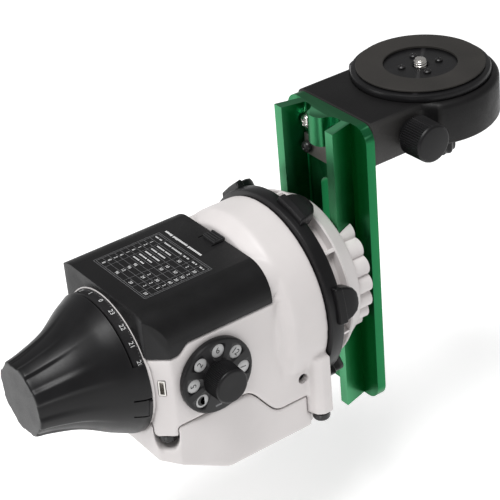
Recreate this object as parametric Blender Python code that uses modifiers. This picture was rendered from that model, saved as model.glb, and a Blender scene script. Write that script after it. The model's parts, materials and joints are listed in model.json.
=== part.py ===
"""Portable equatorial tracking mount: powered housing, clutch, dovetail saddle, bar and declination head.

The frame is right-handed with +Z up. The origin is in the flat underside of the base. +X runs along the
right ascension axis, from the polar scope's cap to the saddle. The side with the mode dial faces -Y.
"""

import math

import bmesh
import bpy
from mathutils import Matrix, Vector

# Driving dimensions, in metres
GAP = 0.0003
AXIS_Z = 0.0574  # height of the right ascension axis above the base
SEAT_X = 0.057  # the saddle's floor, where the dovetail bar sits
BODY_HALF = 0.040  # half the width of the housing
BAND_HALF = 0.046  # radius of the round band over the worm wheel
WALL = 0.0030
COVER_TOP = 0.0383  # top of the battery cover above the axis
COVER_WALL = 0.0024
FRONT_X = SEAT_X - 0.1160
COVER_BACK_X = SEAT_X - 0.0520
BAND_FRONT_X = SEAT_X - 0.0450
BAND_BACK_X = SEAT_X - 0.0262
WHEEL_RADIUS = 0.0420
WHEEL_TEETH = 72  # every second tooth of the real one
WORM_RADIUS = 0.0058
WORM_Z = AXIS_Z - WHEEL_RADIUS - WORM_RADIUS - GAP
SHAFT_RADIUS = 0.0132
BORE_RADIUS = 0.0112
CELL_RADIUS = 0.0071
CELL_LENGTH = 0.0502
DIAL_X = SEAT_X - 0.0865
DIAL_Z = AXIS_Z - 0.0010
DIAL_RADIUS = 0.0188
LUG_COUNT = 6
LUG_START = math.radians(49)
LOBE_COUNT = 22
LOBE_START = math.radians(144.2)
BAR_TOP = AXIS_Z + 0.0796
BAR_BOTTOM = AXIS_Z - 0.0723
BAR_HALF = 0.0220
PLATE_HALF = 0.0297
PLATE_FRONT = 0.0132
BAR_DEPTH = 0.0182
CHANNEL_DEPTH = 0.0120
BLOCK_FRONT_X = SEAT_X + BAR_DEPTH + GAP
BLOCK_TOP = AXIS_Z + 0.0797
BLOCK_BOTTOM = AXIS_Z + 0.0580
TABLE_X = SEAT_X + 0.0715
TABLE_RADIUS = 0.0338
TABLE_TOP = AXIS_Z + 0.0832
DEC_WORM_X = SEAT_X + 0.0407
DEC_WORM_Z = AXIS_Z + 0.0685
DEC_WHEEL_RADIUS = 0.0250

BLACK = (0.012, 0.012, 0.013)
WHITE = (0.62, 0.59, 0.58)
GREEN = (0.010, 0.125, 0.028)
STEEL = (0.55, 0.54, 0.52)
BRASS = (0.62, 0.42, 0.16)


def clear_scene():
    for obj in list(bpy.data.objects):
        bpy.data.objects.remove(obj, do_unlink=True)


def new_collection(name, hidden=False):
    group = bpy.data.collections.new(name)
    bpy.context.scene.collection.children.link(group)
    group.hide_render = hidden
    return group


clear_scene()
PARTS = new_collection("equatorial_mount")
CUTTERS = new_collection("cutters", hidden=True)
MATERIALS = {}


def finish(name, color, roughness, metallic):
    material = bpy.data.materials.new(name)
    material.use_nodes = True
    shader = material.node_tree.nodes["Principled BSDF"]
    shader.inputs["Base Color"].default_value = (*color, 1.0)
    shader.inputs["Roughness"].default_value = roughness
    shader.inputs["Metallic"].default_value = metallic
    MATERIALS[name] = material


finish("white_casting", WHITE, 0.45, 0.0)
finish("black_plastic", BLACK, 0.55, 0.0)
finish("green_anodised", GREEN, 0.35, 0.8)
finish("steel", STEEL, 0.30, 1.0)
finish("brass", BRASS, 0.35, 1.0)
finish("pad", (0.025, 0.023, 0.021), 0.85, 0.0)
finish("cell_wrap", (0.05, 0.12, 0.30), 0.40, 0.0)
finish("lens_glass", (0.55, 0.62, 0.65), 0.05, 0.0)
finish("board", (0.02, 0.15, 0.06), 0.60, 0.0)
finish("grey_plate", (0.10, 0.09, 0.085), 0.50, 0.6)


def add_mesh(name, shape, group=PARTS):
    """An object that owns the given bmesh."""
    mesh = bpy.data.meshes.new(name)
    shape.to_mesh(mesh)
    shape.free()
    obj = bpy.data.objects.new(name, mesh)
    group.objects.link(obj)
    return obj


def box(name, low, high, group=PARTS):
    shape = bmesh.new()
    bmesh.ops.create_cube(shape, size=1.0)
    size = [b - a for a, b in zip(low, high)]
    middle = [(a + b) / 2 for a, b in zip(low, high)]
    bmesh.ops.scale(shape, vec=size, verts=shape.verts)
    bmesh.ops.translate(shape, vec=middle, verts=shape.verts)
    return add_mesh(name, shape, group)


AXES = {
    "X": Matrix.Rotation(math.pi / 2, 4, "Y"),
    "Y": Matrix.Rotation(-math.pi / 2, 4, "X"),
    "-Y": Matrix.Rotation(math.pi / 2, 4, "X"),
    "Z": Matrix.Identity(4),
}


def turned(name, outer, origin, axis="X", inner=None, steps=24, group=PARTS):
    """A turned piece. outer and inner list (distance along the axis, radius), from low to high."""
    profile = [(r, h) for h, r in reversed(outer)]
    if inner:
        profile += [(r, h) for h, r in inner]
    else:
        profile = [(0.0, profile[0][1])] + profile + [(0.0, profile[-1][1])]
    shape = bmesh.new()
    corners = [shape.verts.new((r, 0.0, h)) for r, h in profile]
    for first, second in zip(corners, corners[1:]):
        shape.edges.new((first, second))
    if inner:
        shape.edges.new((corners[-1], corners[0]))
    obj = add_mesh(name, shape, group)
    obj.matrix_world = Matrix.Translation(origin) @ AXES[axis]
    screw = obj.modifiers.new("turn", "SCREW")
    screw.steps = steps
    screw.render_steps = steps
    screw.use_merge_vertices = True
    screw.merge_threshold = 0.00001
    return obj


def rod(name, radius, low, high, origin, axis="X", bore=None, steps=20, group=PARTS):
    inner = [(low, bore), (high, bore)] if bore else None
    return turned(name, [(low, radius), (high, radius)], origin, axis, inner, steps, group)


SIDES = {
    "X": Matrix(((0, 0, 1, 0), (1, 0, 0, 0), (0, 1, 0, 0), (0, 0, 0, 1))),
    "Y": Matrix(((1, 0, 0, 0), (0, 0, -1, 0), (0, 1, 0, 0), (0, 0, 0, 1))),
    "Z": Matrix.Identity(4),
}


def prism(name, outline, low, high, axis, group=PARTS, holes=()):
    """A flat outline pushed along an axis: outline is (y, z) for X, (x, z) for Y and (x, y) for Z."""
    curve = bpy.data.curves.new(name, "CURVE")
    curve.dimensions = "2D"
    curve.fill_mode = "BOTH"
    curve.extrude = (high - low) / 2
    for ring in (outline, *holes):
        spline = curve.splines.new("POLY")
        spline.points.add(len(ring) - 1)
        for point, (u, v) in zip(spline.points, ring):
            point.co = (u, v, 0.0, 1.0)
        spline.use_cyclic_u = True
    flat = bpy.data.objects.new(name + "_outline", curve)
    group.objects.link(flat)
    bpy.context.view_layer.update()
    graph = bpy.context.evaluated_depsgraph_get()
    mesh = bpy.data.meshes.new_from_object(flat.evaluated_get(graph))
    bpy.data.objects.remove(flat, do_unlink=True)
    shape = bmesh.new()
    shape.from_mesh(mesh)
    bmesh.ops.remove_doubles(shape, verts=shape.verts, dist=0.000001)
    middle = (low + high) / 2
    shift = {"X": (middle, 0, 0), "Y": (0, middle, 0), "Z": (0, 0, middle)}[axis]
    shape.transform(Matrix.Translation(shift) @ SIDES[axis])
    bmesh.ops.recalc_face_normals(shape, faces=shape.faces)
    if shape.calc_volume(signed=True) < 0:
        bmesh.ops.reverse_faces(shape, faces=shape.faces)
    return add_mesh(name, shape, group)


def arc(cx, cy, radius, start, end, steps):
    """Points on an arc, with angles in degrees."""
    turn = [math.radians(start + (end - start) * i / steps) for i in range(steps + 1)]
    return [(cx + radius * math.cos(t), cy + radius * math.sin(t)) for t in turn]


def circle(cx, cy, radius, steps=32):
    return arc(cx, cy, radius, 0, 360, steps)[:-1]


def rounded_box(low_u, low_v, high_u, high_v, radii, steps=5):
    """A rectangle outline with one radius for each corner, from the lower left one counterclockwise."""
    r1, r2, r3, r4 = radii
    points = arc(low_u + r1, low_v + r1, r1, 180, 270, steps) if r1 else [(low_u, low_v)]
    points += arc(high_u - r2, low_v + r2, r2, 270, 360, steps) if r2 else [(high_u, low_v)]
    points += arc(high_u - r3, high_v - r3, r3, 0, 90, steps) if r3 else [(high_u, high_v)]
    points += arc(low_u + r4, high_v - r4, r4, 90, 180, steps) if r4 else [(low_u, high_v)]
    return points


def arch(half, low, steps=24):
    """A round top on straight sides that run down to low, round the right ascension axis."""
    return [(-half, low), (half, low)] + arc(0, AXIS_Z, half, 0, 180, steps)


def combine(obj, other, operation):
    if other.name not in CUTTERS.objects:
        PARTS.objects.unlink(other)
        CUTTERS.objects.link(other)
    other.hide_render = True
    other.display_type = "WIRE"
    boolean = obj.modifiers.new(other.name, "BOOLEAN")
    boolean.operation = operation
    boolean.object = other
    boolean.solver = "EXACT"


def cut(obj, *others):
    for other in others:
        combine(obj, other, "DIFFERENCE")


def join(obj, *others):
    for other in others:
        combine(obj, other, "UNION")


def soften(obj, width, segments=2, angle=40):
    bevel = obj.modifiers.new("soften", "BEVEL")
    bevel.width = width
    bevel.segments = segments
    bevel.limit_method = "ANGLE"
    bevel.angle_limit = math.radians(angle)


def turn_about(obj, origin, axis, angle):
    """Turns an object about a line through origin."""
    spin = Matrix.Translation(origin) @ Matrix.Rotation(angle, 4, axis) @ Matrix.Translation(-Vector(origin))
    obj.matrix_world = spin @ obj.matrix_world


def paint(material, *objects):
    for obj in objects:
        obj.data.materials.clear()
        obj.data.materials.append(MATERIALS[material])
        if any(modifier.type == "SCREW" for modifier in obj.modifiers):
            continue
        obj.data.shade_smooth()
        obj.data.set_sharp_from_angle(angle=math.radians(35))


def pivot(name, location, *objects):
    """An empty on a joint's axis, which the moving pieces hang from."""
    empty = bpy.data.objects.new(name + "_axis", None)
    empty.empty_display_size = 0.01
    empty.location = location
    PARTS.objects.link(empty)
    bpy.context.view_layer.update()
    for obj in objects:
        obj.parent = empty
        obj.matrix_parent_inverse = empty.matrix_world.inverted()
    return empty


RA = (0.0, 0.0, AXIS_Z)  # a point on the right ascension axis
COVER_FRONT_EDGE = AXIS_Z + 0.0165  # lower edge of the battery cover, at its front
COVER_REAR_EDGE = AXIS_Z + 0.0210
SEAM_FRONT = AXIS_Z - 0.0210  # seam between housing and base, at the front
SEAM_REAR = AXIS_Z - 0.0385


def seam_line(offset):
    """The seam in the x-z plane: level, down an S curve, and level again."""
    start = SEAT_X - 0.0710
    end = SEAT_X - 0.0520
    drop = SEAM_REAR - SEAM_FRONT
    points = [(FRONT_X - 0.01, SEAM_FRONT + offset)]
    for i in range(9):
        t = i / 8
        ease = t * t * (3 - 2 * t)
        points.append((start + (end - start) * t, SEAM_FRONT + drop * ease + offset))
    points.append((SEAT_X, SEAM_REAR + offset))
    return points


def cover_line(offset):
    """The battery cover's lower edge in the x-z plane."""
    start = SEAT_X - 0.1045
    end = SEAT_X - 0.0975
    rise = COVER_REAR_EDGE - COVER_FRONT_EDGE
    points = [(FRONT_X - 0.01, COVER_FRONT_EDGE + offset)]
    for i in range(7):
        t = i / 6
        ease = t * t * (3 - 2 * t)
        points.append((start + (end - start) * t, COVER_FRONT_EDGE + rise * ease + offset))
    points.append((SEAT_X, COVER_REAR_EDGE + offset))
    return points


def corner_cutters(name, low, high, inset=0.0):
    """Prisms that take the two upright front corners off the body, or off its inside by an inset."""
    along, across = 0.658 * inset, 0.753 * inset
    made = []
    for side in (-1, 1):
        outline = [
            (FRONT_X - 0.002, side * (BODY_HALF - 0.0088 - 2 * across)),
            (FRONT_X - 0.002, side * (BODY_HALF + 0.002)),
            (FRONT_X + 0.0105 + along, side * (BODY_HALF + 0.002)),
            (FRONT_X + 0.0105 + along, side * (BODY_HALF - across + 0.0001)),
            (FRONT_X + 0.0080 + along, side * (BODY_HALF - across)),
            (FRONT_X + along, side * (BODY_HALF - 0.0070 - across)),
        ]
        if not inset:
            del outline[3]
        made.append(prism(f"{name}_corner_{side}", outline, low, high, "Z", CUTTERS))
    return made


def corner_facing(x, y):
    """Turns local X to face out of the chamfered front corner nearest (x, y)."""
    angle = math.atan2(math.copysign(0.753, y), -0.658)
    return Matrix.Translation((x, y, 0.0)) @ Matrix.Rotation(angle, 4, "Z")


def corner_bosses(name, low, high):
    """The bolt pads that stand out at the two rear corners."""
    made = []
    for side, word in ((-1, "left"), (1, "right")):
        outline = [
            (BAND_BACK_X, side * 0.0360),
            (BAND_BACK_X, side * BAND_HALF),
            (BAND_BACK_X - 0.0055, side * BAND_HALF),
            (BAND_BACK_X - 0.0085, side * 0.0438),
            (BAND_BACK_X - 0.0105, side * 0.0380),
        ]
        made.append(prism(f"{name}_{word}_boss", outline, low, high, "Z"))
    return made


def main_housing():
    """The white casting: a box over the drive, a round band over the worm wheel, and a battery bay on top."""
    lower = rounded_box(-BODY_HALF, AXIS_Z - 0.045, BODY_HALF, AXIS_Z + 0.030, (0, 0, 0, 0))
    body = prism("main_housing", lower, FRONT_X + 0.0005, BAND_FRONT_X + 0.002, "X")
    above = cover_line(-GAP) + [(SEAT_X, AXIS_Z + 0.06), (FRONT_X - 0.01, AXIS_Z + 0.06)]
    cut(body, prism("above_cover_edge", above, -0.06, 0.06, "Y", CUTTERS))
    inset = COVER_WALL + 2 * GAP
    half = BODY_HALF - inset
    top = AXIS_Z + COVER_TOP - inset
    deck = rounded_box(-half, AXIS_Z - 0.01, half, top, (0, 0, 0.0121, 0.0121))
    raised = prism("deck", deck, FRONT_X + COVER_WALL + 2 * GAP, BAND_FRONT_X + 0.001, "X")
    cut(raised, *corner_cutters("deck", AXIS_Z + 0.0160, 0.2, inset))
    join(body, raised)
    slope = [(COVER_BACK_X + GAP, COVER_TOP + 0.0030), (BAND_FRONT_X, BAND_HALF), (BAND_BACK_X, BAND_HALF)]
    join(body, turned("band", slope, RA, steps=64))
    low_side = (BAND_FRONT_X - 0.002, -BODY_HALF, AXIS_Z - 0.050), (BAND_BACK_X, BODY_HALF, AXIS_Z - 0.012)
    join(body, box("low_side", *low_side))
    below = seam_line(0.0) + [(SEAT_X, -0.01), (FRONT_X - 0.01, -0.01)]
    cut(body, prism("below_seam", below, -0.06, 0.06, "Y", CUTTERS))
    join(body, *corner_bosses("housing", BOLTS[2][2] + 0.0002, AXIS_Z - 0.017))
    cavity = rounded_box(-BODY_HALF + WALL, 0.0, BODY_HALF - WALL, AXIS_Z + 0.0165, (0, 0, 0.004, 0.004))
    cut(body, prism("drive_space", cavity, FRONT_X + 0.0070, SEAT_X - 0.0510, "X", CUTTERS))
    way = (SEAT_X - 0.0520, -BODY_HALF + WALL, 0.0), (SEAT_X - 0.0430, BODY_HALF - WALL, AXIS_Z - 0.0250)
    cut(body, box("gear_way", *way, CUTTERS))
    cut(body, rod("wheel_space", BAND_HALF - 0.0024, SEAT_X - 0.0440, SEAT_X, RA, "X", steps=56, group=CUTTERS))
    low_room = (SEAT_X - 0.0440, -BODY_HALF + WALL, -0.01), (SEAT_X - 0.0292, BODY_HALF - WALL, AXIS_Z - 0.012)
    cut(body, box("low_room", *low_room, CUTTERS))
    for number, (x, y, z) in enumerate(BOLTS[:2], 1):
        tab = box(f"bolt_tab_{number}", (-0.0050, -0.0057, z + 0.0002), (0.0080, 0.0057, z + 0.0078))
        tab.matrix_world = corner_facing(x, y)
        cut(tab, box(f"tab_front_{number}", (FRONT_X - 0.02, -0.06, 0.0), (FRONT_X + 0.0006, 0.06, 0.2), CUTTERS))
        join(body, tab)
    for x, y, z in BOLTS:
        cut(body, rod("bolt_hole", 0.0026, 0.0, z + 0.0085, (x, y, 0.0), "Z", steps=16, group=CUTTERS))
    bay_low = AXIS_Z + 0.0190
    cut(body, box("battery_bay", (SEAT_X - 0.1105, -0.0300, bay_low), (SEAT_X - 0.0580, 0.0300, 0.2), CUTTERS))
    cut(body, rod("shaft_bore", 0.0183, -0.1, SEAT_X - 0.040, RA, "X", steps=32, group=CUTTERS))
    cut(body, rod("circle_recess", 0.0356, -0.1, FRONT_X + 0.0012, RA, "X", steps=48, group=CUTTERS))
    cut(body, *corner_cutters("housing", -0.01, 0.2))
    dial = (DIAL_X, 0.0, DIAL_Z)
    cut(body, rod("dial_hole", 0.0036, 0.030, 0.045, dial, "-Y", group=CUTTERS))
    port = box("usb_slot", (-0.006, -0.0020, -0.0043), (0.006, 0.0020, 0.0043), CUTTERS)
    port.matrix_world = Matrix.Translation(USB_AT) @ Matrix.Rotation(USB_TURN, 4, "Z")
    cut(body, port)
    cut(body, rod("jack_hole", 0.0034, 0.030, 0.045, (JACK_X, 0.0, CONTROL_Z), "Y", group=CUTTERS))
    for x in BUTTON_X:
        cut(body, rod("button_hole", 0.0033, 0.030, 0.045, (x, 0.0, CONTROL_Z), "Y", group=CUTTERS))
    cut(body, box("switch_slot", (SWITCH_X - 0.0052, 0.030, CONTROL_Z - 0.0018),
                  (SWITCH_X + 0.0052, 0.045, CONTROL_Z + 0.0018), CUTTERS))
    return body


USB_AT = Vector((FRONT_X + 0.0045, -BODY_HALF + 0.0038, AXIS_Z + 0.0010))
USB_TURN = math.radians(41)  # turns the slot's long way in to face out of the chamfered corner
CONTROL_Z = AXIS_Z + 0.0020
JACK_X = SEAT_X - 0.1000
BUTTON_X = (SEAT_X - 0.0760, SEAT_X - 0.0660)
SWITCH_X = SEAT_X - 0.0880
BOLTS = [
    (x, side * y, z)
    for x, y, z in ((FRONT_X + 0.0066, 0.0322, AXIS_Z - 0.0262), (BAND_BACK_X - 0.0040, 0.0410, AXIS_Z - 0.0492))
    for side in (-1, 1)
]


def base_housing():
    """The lower casting, with the tripod face and a sloping chin at the front."""
    low = rounded_box(-BODY_HALF, 0.0, BODY_HALF, SEAM_FRONT, (0.003, 0.003, 0, 0))
    body = prism("base_housing", low, FRONT_X, BAND_BACK_X, "X")
    above = seam_line(-GAP) + [(SEAT_X, 0.2), (FRONT_X - 0.01, 0.2)]
    cut(body, prism("above_seam", above, -0.06, 0.06, "Y", CUTTERS))
    chin = [(FRONT_X - 0.01, -0.01), (SEAT_X - 0.0640, -0.01), (SEAT_X - 0.0815, 0.0)]
    chin += [(SEAT_X - 0.1083, 0.0152), (FRONT_X - 0.01, 0.0207)]
    cut(body, prism("chin", chin, -0.06, 0.06, "Y", CUTTERS))
    tail = [(SEAT_X - 0.0320, -0.001), (SEAT_X, -0.001), (SEAT_X, 0.0110), (BAND_BACK_X - 0.0005, 0.0080)]
    cut(body, prism("tail", tail, -0.06, 0.06, "Y", CUTTERS))
    inner = [(FRONT_X + 0.0070, 0.030), (FRONT_X + 0.0070, 0.0205), (SEAT_X - 0.0820, 0.0030)]
    inner += [(SEAT_X - 0.0310, 0.0030), (SEAT_X - 0.0292, 0.0056), (SEAT_X - 0.0292, 0.10)]
    inner += [(FRONT_X + 0.0070, 0.10)]
    room = prism("base_space", inner, -BODY_HALF + WALL, BODY_HALF - WALL, "Y", CUTTERS)
    for side in (-1, 1):
        inside, outside = sorted((side * 0.0336, side * 0.0400))
        cut(room, box(f"thick_wall_{side}", (SEAT_X - 0.0385, inside, 0.0), (SEAT_X, outside, 0.2), CUTTERS))
    cut(body, room)
    for number, (x, y, z) in enumerate(BOLTS[:2], 1):
        inside, outside = sorted((math.copysign(0.0240, y), math.copysign(0.0395, y)))
        pillar = box(f"pillar_{number}", (FRONT_X + 0.0005, inside, 0.0210), (x + 0.0075, outside, SEAM_FRONT - GAP))
        join(body, pillar)
    boss = rod("tripod_boss", 0.0110, 0.001, 0.0082, (0.0, 0.0, 0.0), "Z")
    join(body, boss)
    cut(body, rod("tripod_hole", 0.0078, -0.01, 0.0120, (0.0, 0.0, 0.0), "Z", group=CUTTERS))
    cut(body, rod("base_recess", 0.0356, -0.1, FRONT_X + 0.0012, RA, "X", steps=48, group=CUTTERS))
    for number, (x, y, z) in enumerate(BOLTS[:2], 1):
        notch = [(-0.0060, 0.2), (-0.0060, z - 0.0003), (-0.0052, z - 0.0042), (-0.0030, z - 0.0077)]
        notch += [(-u, v) for u, v in reversed(notch)]
        recess = prism(f"bolt_recess_{number}", notch, -0.0053, 0.0120, "X", CUTTERS)
        recess.matrix_world = corner_facing(x, y)
        cut(body, recess)
    for x, y, z in BOLTS[2:]:
        cut(body, rod("bolt_recess", 0.0052, -0.01, 0.2, (x, y, 0.0), "Z", steps=32, group=CUTTERS))
        side = math.copysign(1, y)
        outline = [(SEAT_X, side * 0.0350), (SEAT_X, side * 0.06), (BAND_BACK_X - 0.0108, side * 0.06)]
        outline += [(BAND_BACK_X - 0.0108, side * 0.0377), (BAND_BACK_X, side * 0.0357)]
        cut(body, prism(f"boss_recess_{side}", outline, z - 0.0001, 0.2, "Z", CUTTERS))
    cut(body, *corner_cutters("base", -0.01, 0.2))
    return body


def fasteners():
    for number, (x, y, z) in enumerate(BOLTS, 1):
        head = [(-0.0044, 0.0028), (-0.0038, 0.0039), (-0.0028, 0.0043), (-GAP, 0.0043), (-GAP, 0.0022), (0.0080, 0.0022)]
        bolt = turned(f"base_bolt_{number}", head, (x, y, z), "Z", steps=12)
        paint("black_plastic", bolt)
    insert = turned("tripod_insert", [(GAP, 0.0075), (0.0079, 0.0075)], (0, 0, 0), "Z",
                    [(GAP, 0.0048), (0.0079, 0.0048)], 24)
    paint("brass", insert)


def battery_cover():
    """The lid over the cells: a rounded tunnel with a front wall that is cut round the time circle."""
    outer = rounded_box(-BODY_HALF, AXIS_Z + 0.005, BODY_HALF, AXIS_Z + COVER_TOP, (0, 0, 0.015, 0.015), 8)
    cover = prism("battery_cover", outer, FRONT_X, COVER_BACK_X, "X")
    half = BODY_HALF - COVER_WALL
    top = AXIS_Z + COVER_TOP - COVER_WALL
    inner = rounded_box(-half, -0.01, half, top, (0, 0, 0.0126, 0.0126), 8)
    space = prism("cover_space", inner, FRONT_X + COVER_WALL, SEAT_X, "X", CUTTERS)
    cut(space, *corner_cutters("cover_inner", -0.02, 0.3, COVER_WALL))
    cut(cover, space)
    below = cover_line(0.0) + [(SEAT_X, -0.01), (FRONT_X - 0.01, -0.01)]
    cut(cover, prism("below_cover_edge", below, -0.06, 0.06, "Y", CUTTERS))
    cut(cover, rod("cap_arch", 0.0362, -0.1, SEAT_X - 0.1120, RA, "X", steps=64, group=CUTTERS))
    cut(cover, *corner_cutters("cover", -0.01, 0.2))
    for side in (-1, 1):
        low = (SEAT_X - 0.0596, side * 0.0053 - 0.0003, 0.0)
        cut(cover, box(f"latch_slit_{side}", low, (SEAT_X, side * 0.0053 + 0.0003, 0.2), CUTTERS))
    for k in range(3):
        x = SEAT_X - 0.0585 + 0.0022 * k
        rib = box(f"latch_rib_{k}", (x, -0.0042, AXIS_Z + COVER_TOP - 0.001), (x + 0.0009, 0.0042, AXIS_Z + COVER_TOP + 0.0005))
        join(cover, rib)
    paint("black_plastic", cover)
    pivot("battery_cover", (FRONT_X, 0.0, AXIS_Z + COVER_TOP), cover)


def cells():
    low = SEAT_X - 0.1098
    for number in range(4):
        y = (number - 1.5) * (2 * CELL_RADIUS + 2 * GAP)
        z = AXIS_Z + 0.0190 + GAP + CELL_RADIUS
        body = [(low, 0.0060), (low + 0.0006, CELL_RADIUS), (low + CELL_LENGTH - 0.0016, CELL_RADIUS)]
        body += [(low + CELL_LENGTH - 0.0011, 0.0028), (low + CELL_LENGTH, 0.0027)]
        cell = turned(f"battery_cell_{number + 1}", body, (0, y, z), "X", steps=14)
        paint("cell_wrap", cell)


def shaft_line():
    """The right ascension shaft, its bearings, the polar scope inside it, and the circles at its front."""
    front = (FRONT_X + 0.0008, FRONT_X + 0.0066)
    for name, (low, high) in {"front_bearing": front, "rear_bearing": (SEAT_X - 0.0505, SEAT_X - 0.0445)}.items():
        paint("steel", rod(name, 0.0180, low, high, RA, "X", bore=0.0135))
    head = SEAT_X - 0.0240
    shaft = [(FRONT_X + 0.0005, SHAFT_RADIUS), (head, SHAFT_RADIUS), (head, 0.0200), (SEAT_X - 0.0190, 0.0200)]
    bore = [(FRONT_X + 0.0005, BORE_RADIUS), (SEAT_X - 0.0190, BORE_RADIUS)]
    paint("steel", turned("ra_shaft", shaft, RA, "X", bore))
    tube = [(FRONT_X - 0.0125, 0.0108), (SEAT_X - 0.0120, 0.0108)]
    paint("black_plastic", turned("polar_scope_tube", tube, RA, "X", [(tube[0][0], 0.0095), (tube[1][0], 0.0095)], 24))
    lens_x = SEAT_X - 0.0160
    lens = [(lens_x, 0.0060), (lens_x + 0.0012, 0.0092), (lens_x + 0.0028, 0.0092), (lens_x + 0.0040, 0.0060)]
    paint("lens_glass", turned("objective_lens", lens, RA, "X", steps=24))
    date = [(FRONT_X - 0.0044, 0.0245), (FRONT_X - 0.0012, 0.0245)]
    paint("black_plastic", turned("date_circle", date, RA, "X", [(date[0][0], 0.0170), (date[1][0], 0.0170)]))
    barrel = [(FRONT_X - 0.0210, 0.0130), (FRONT_X - 0.0200, 0.0150), (FRONT_X - 0.0056, 0.0165)]
    barrel += [(FRONT_X - 0.0048, 0.0160), (FRONT_X - 0.0010, 0.0160)]
    hole = [(FRONT_X - 0.0210, 0.0085), (FRONT_X - 0.0140, 0.0085), (FRONT_X - 0.0140, 0.0112), (FRONT_X - 0.0010, 0.0112)]
    paint("black_plastic", turned("eyepiece", barrel, RA, "X", hole, 28))
    ring = [(FRONT_X - 0.0053, 0.0340), (FRONT_X + 0.0009, 0.0340)]
    paint("black_plastic", turned("time_circle", ring, RA, "X", [(ring[0][0], 0.0250), (ring[1][0], 0.0250)], 36))


CAP_PROFILE = [(0.0000, 0.0168), (0.0012, 0.0182), (0.0080, 0.0196), (0.0130, 0.0209), (0.0180, 0.0224)]
CAP_PROFILE += [(0.0230, 0.0245), (0.0280, 0.0273), (0.0330, 0.0304), (0.0380, 0.0328), (0.0412, 0.0350)]
CAP_PROFILE += [(0.0425, 0.0356), (0.0463, 0.0360)]
CAP_END_X = SEAT_X - 0.1630
CAP_WALL = 0.0018


def polar_cap():
    """The flared cap over the polar scope. Its rim is cut back over the numbers of the time circle."""
    outer = [(CAP_END_X + h, r) for h, r in CAP_PROFILE]
    inner = [(CAP_END_X + max(h, CAP_WALL), r - CAP_WALL) for h, r in CAP_PROFILE[1:-3:2]]
    inner += [(CAP_END_X + 0.0408, 0.0325), (CAP_END_X + 0.0412, 0.0344), (CAP_END_X + 0.0480, 0.0344)]
    cap = turned("polar_cap", outer, RA, "X", steps=36)
    space = turned("cap_space", inner, RA, "X", steps=36, group=CUTTERS)
    cut(cap, space)
    window = arc(0, AXIS_Z, 0.050, 20, 160, 12) + [(0.0, AXIS_Z + 0.002)]
    cut(cap, prism("cap_window", window, FRONT_X - 0.0062, FRONT_X + 0.02, "X", CUTTERS))
    paint("black_plastic", cap)
    pivot("polar_cap", (CAP_END_X, 0.0, AXIS_Z), cap)


def mode_dial():
    centre = (DIAL_X, 0.0, DIAL_Z)
    face = BODY_HALF + GAP
    plate = [(face, DIAL_RADIUS), (face + 0.0026, DIAL_RADIUS), (face + 0.0034, DIAL_RADIUS - 0.0010)]
    dial = turned("dial_plate", plate, centre, "-Y", [(face, 0.0036), (face + 0.0034, 0.0036)], 40)
    knob = [(BODY_HALF - 0.0030, 0.0030), (face + 0.0037, 0.0030), (face + 0.0037, 0.0087)]
    knob += [(face + 0.0134, 0.0084), (face + 0.0142, 0.0076)]
    handle = turned("dial_knob", knob, centre, "-Y", steps=32)
    paint("black_plastic", dial, handle)
    pivot("dial_knob", centre, handle)
    board = box("circuit_board", (SEAT_X - 0.1060, -BODY_HALF + WALL + 0.0008, AXIS_Z - 0.0180),
                (SEAT_X - 0.0620, -BODY_HALF + WALL + 0.0024, AXIS_Z + 0.0122))
    paint("board", board)
    socket = box("usb_port", (0.0006, -0.0016, -0.0039), (0.0056, 0.0016, 0.0039))
    mouth = box("usb_mouth", (-0.001, -0.0010, -0.0033), (0.0046, 0.0010, 0.0033), CUTTERS)
    for piece in (socket, mouth):
        piece.matrix_world = Matrix.Translation(USB_AT - Vector((0.0010, 0.0008, 0))) @ Matrix.Rotation(USB_TURN, 4, "Z")
    cut(socket, mouth)
    paint("steel", socket)


def side_controls():
    """Direction switch, two slewing buttons and the camera release jack, on the +Y side."""
    wall = BODY_HALF
    switch = box("direction_switch", (SWITCH_X - 0.0022, wall - 0.0036, CONTROL_Z - 0.0015),
                 (SWITCH_X + 0.0022, wall + 0.0016, CONTROL_Z + 0.0015))
    pivot("direction_switch", (SWITCH_X, wall, CONTROL_Z), switch)
    paint("black_plastic", switch)
    for name, x in zip(("button_left", "button_right"), BUTTON_X):
        shape = [(wall - 0.0036, 0.0030), (wall + 0.0012, 0.0030), (wall + 0.0018, 0.0024)]
        button = turned(name, shape, (x, 0.0, CONTROL_Z), "Y", steps=16)
        pivot(name, (x, wall, CONTROL_Z), button)
        paint("black_plastic", button)
    jack = [(wall - 0.0080, 0.0030), (wall + GAP, 0.0030), (wall + GAP, 0.0044), (wall + 0.0008, 0.0044)]
    hole = [(wall - 0.0080, 0.0017), (wall + 0.0008, 0.0017)]
    paint("black_plastic", turned("shutter_port", jack, (JACK_X, 0.0, CONTROL_Z), "Y", hole, 20))


def toothed(teeth, radius, depth, centre_u, centre_v):
    """An outline with one triangular tooth for each pair of points."""
    points = []
    for i in range(2 * teeth):
        r = radius if i % 2 else radius - depth
        angle = math.pi * i / teeth
        points.append((centre_u + r * math.cos(angle), centre_v + r * math.sin(angle)))
    return points


WORM_X = SEAT_X - 0.0355
MOTOR_X = WORM_X - 0.0186
MOTOR_Z = 0.0174
WORM_GEAR_TEETH = 12
MOTOR_GEAR_TEETH = 28


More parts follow.
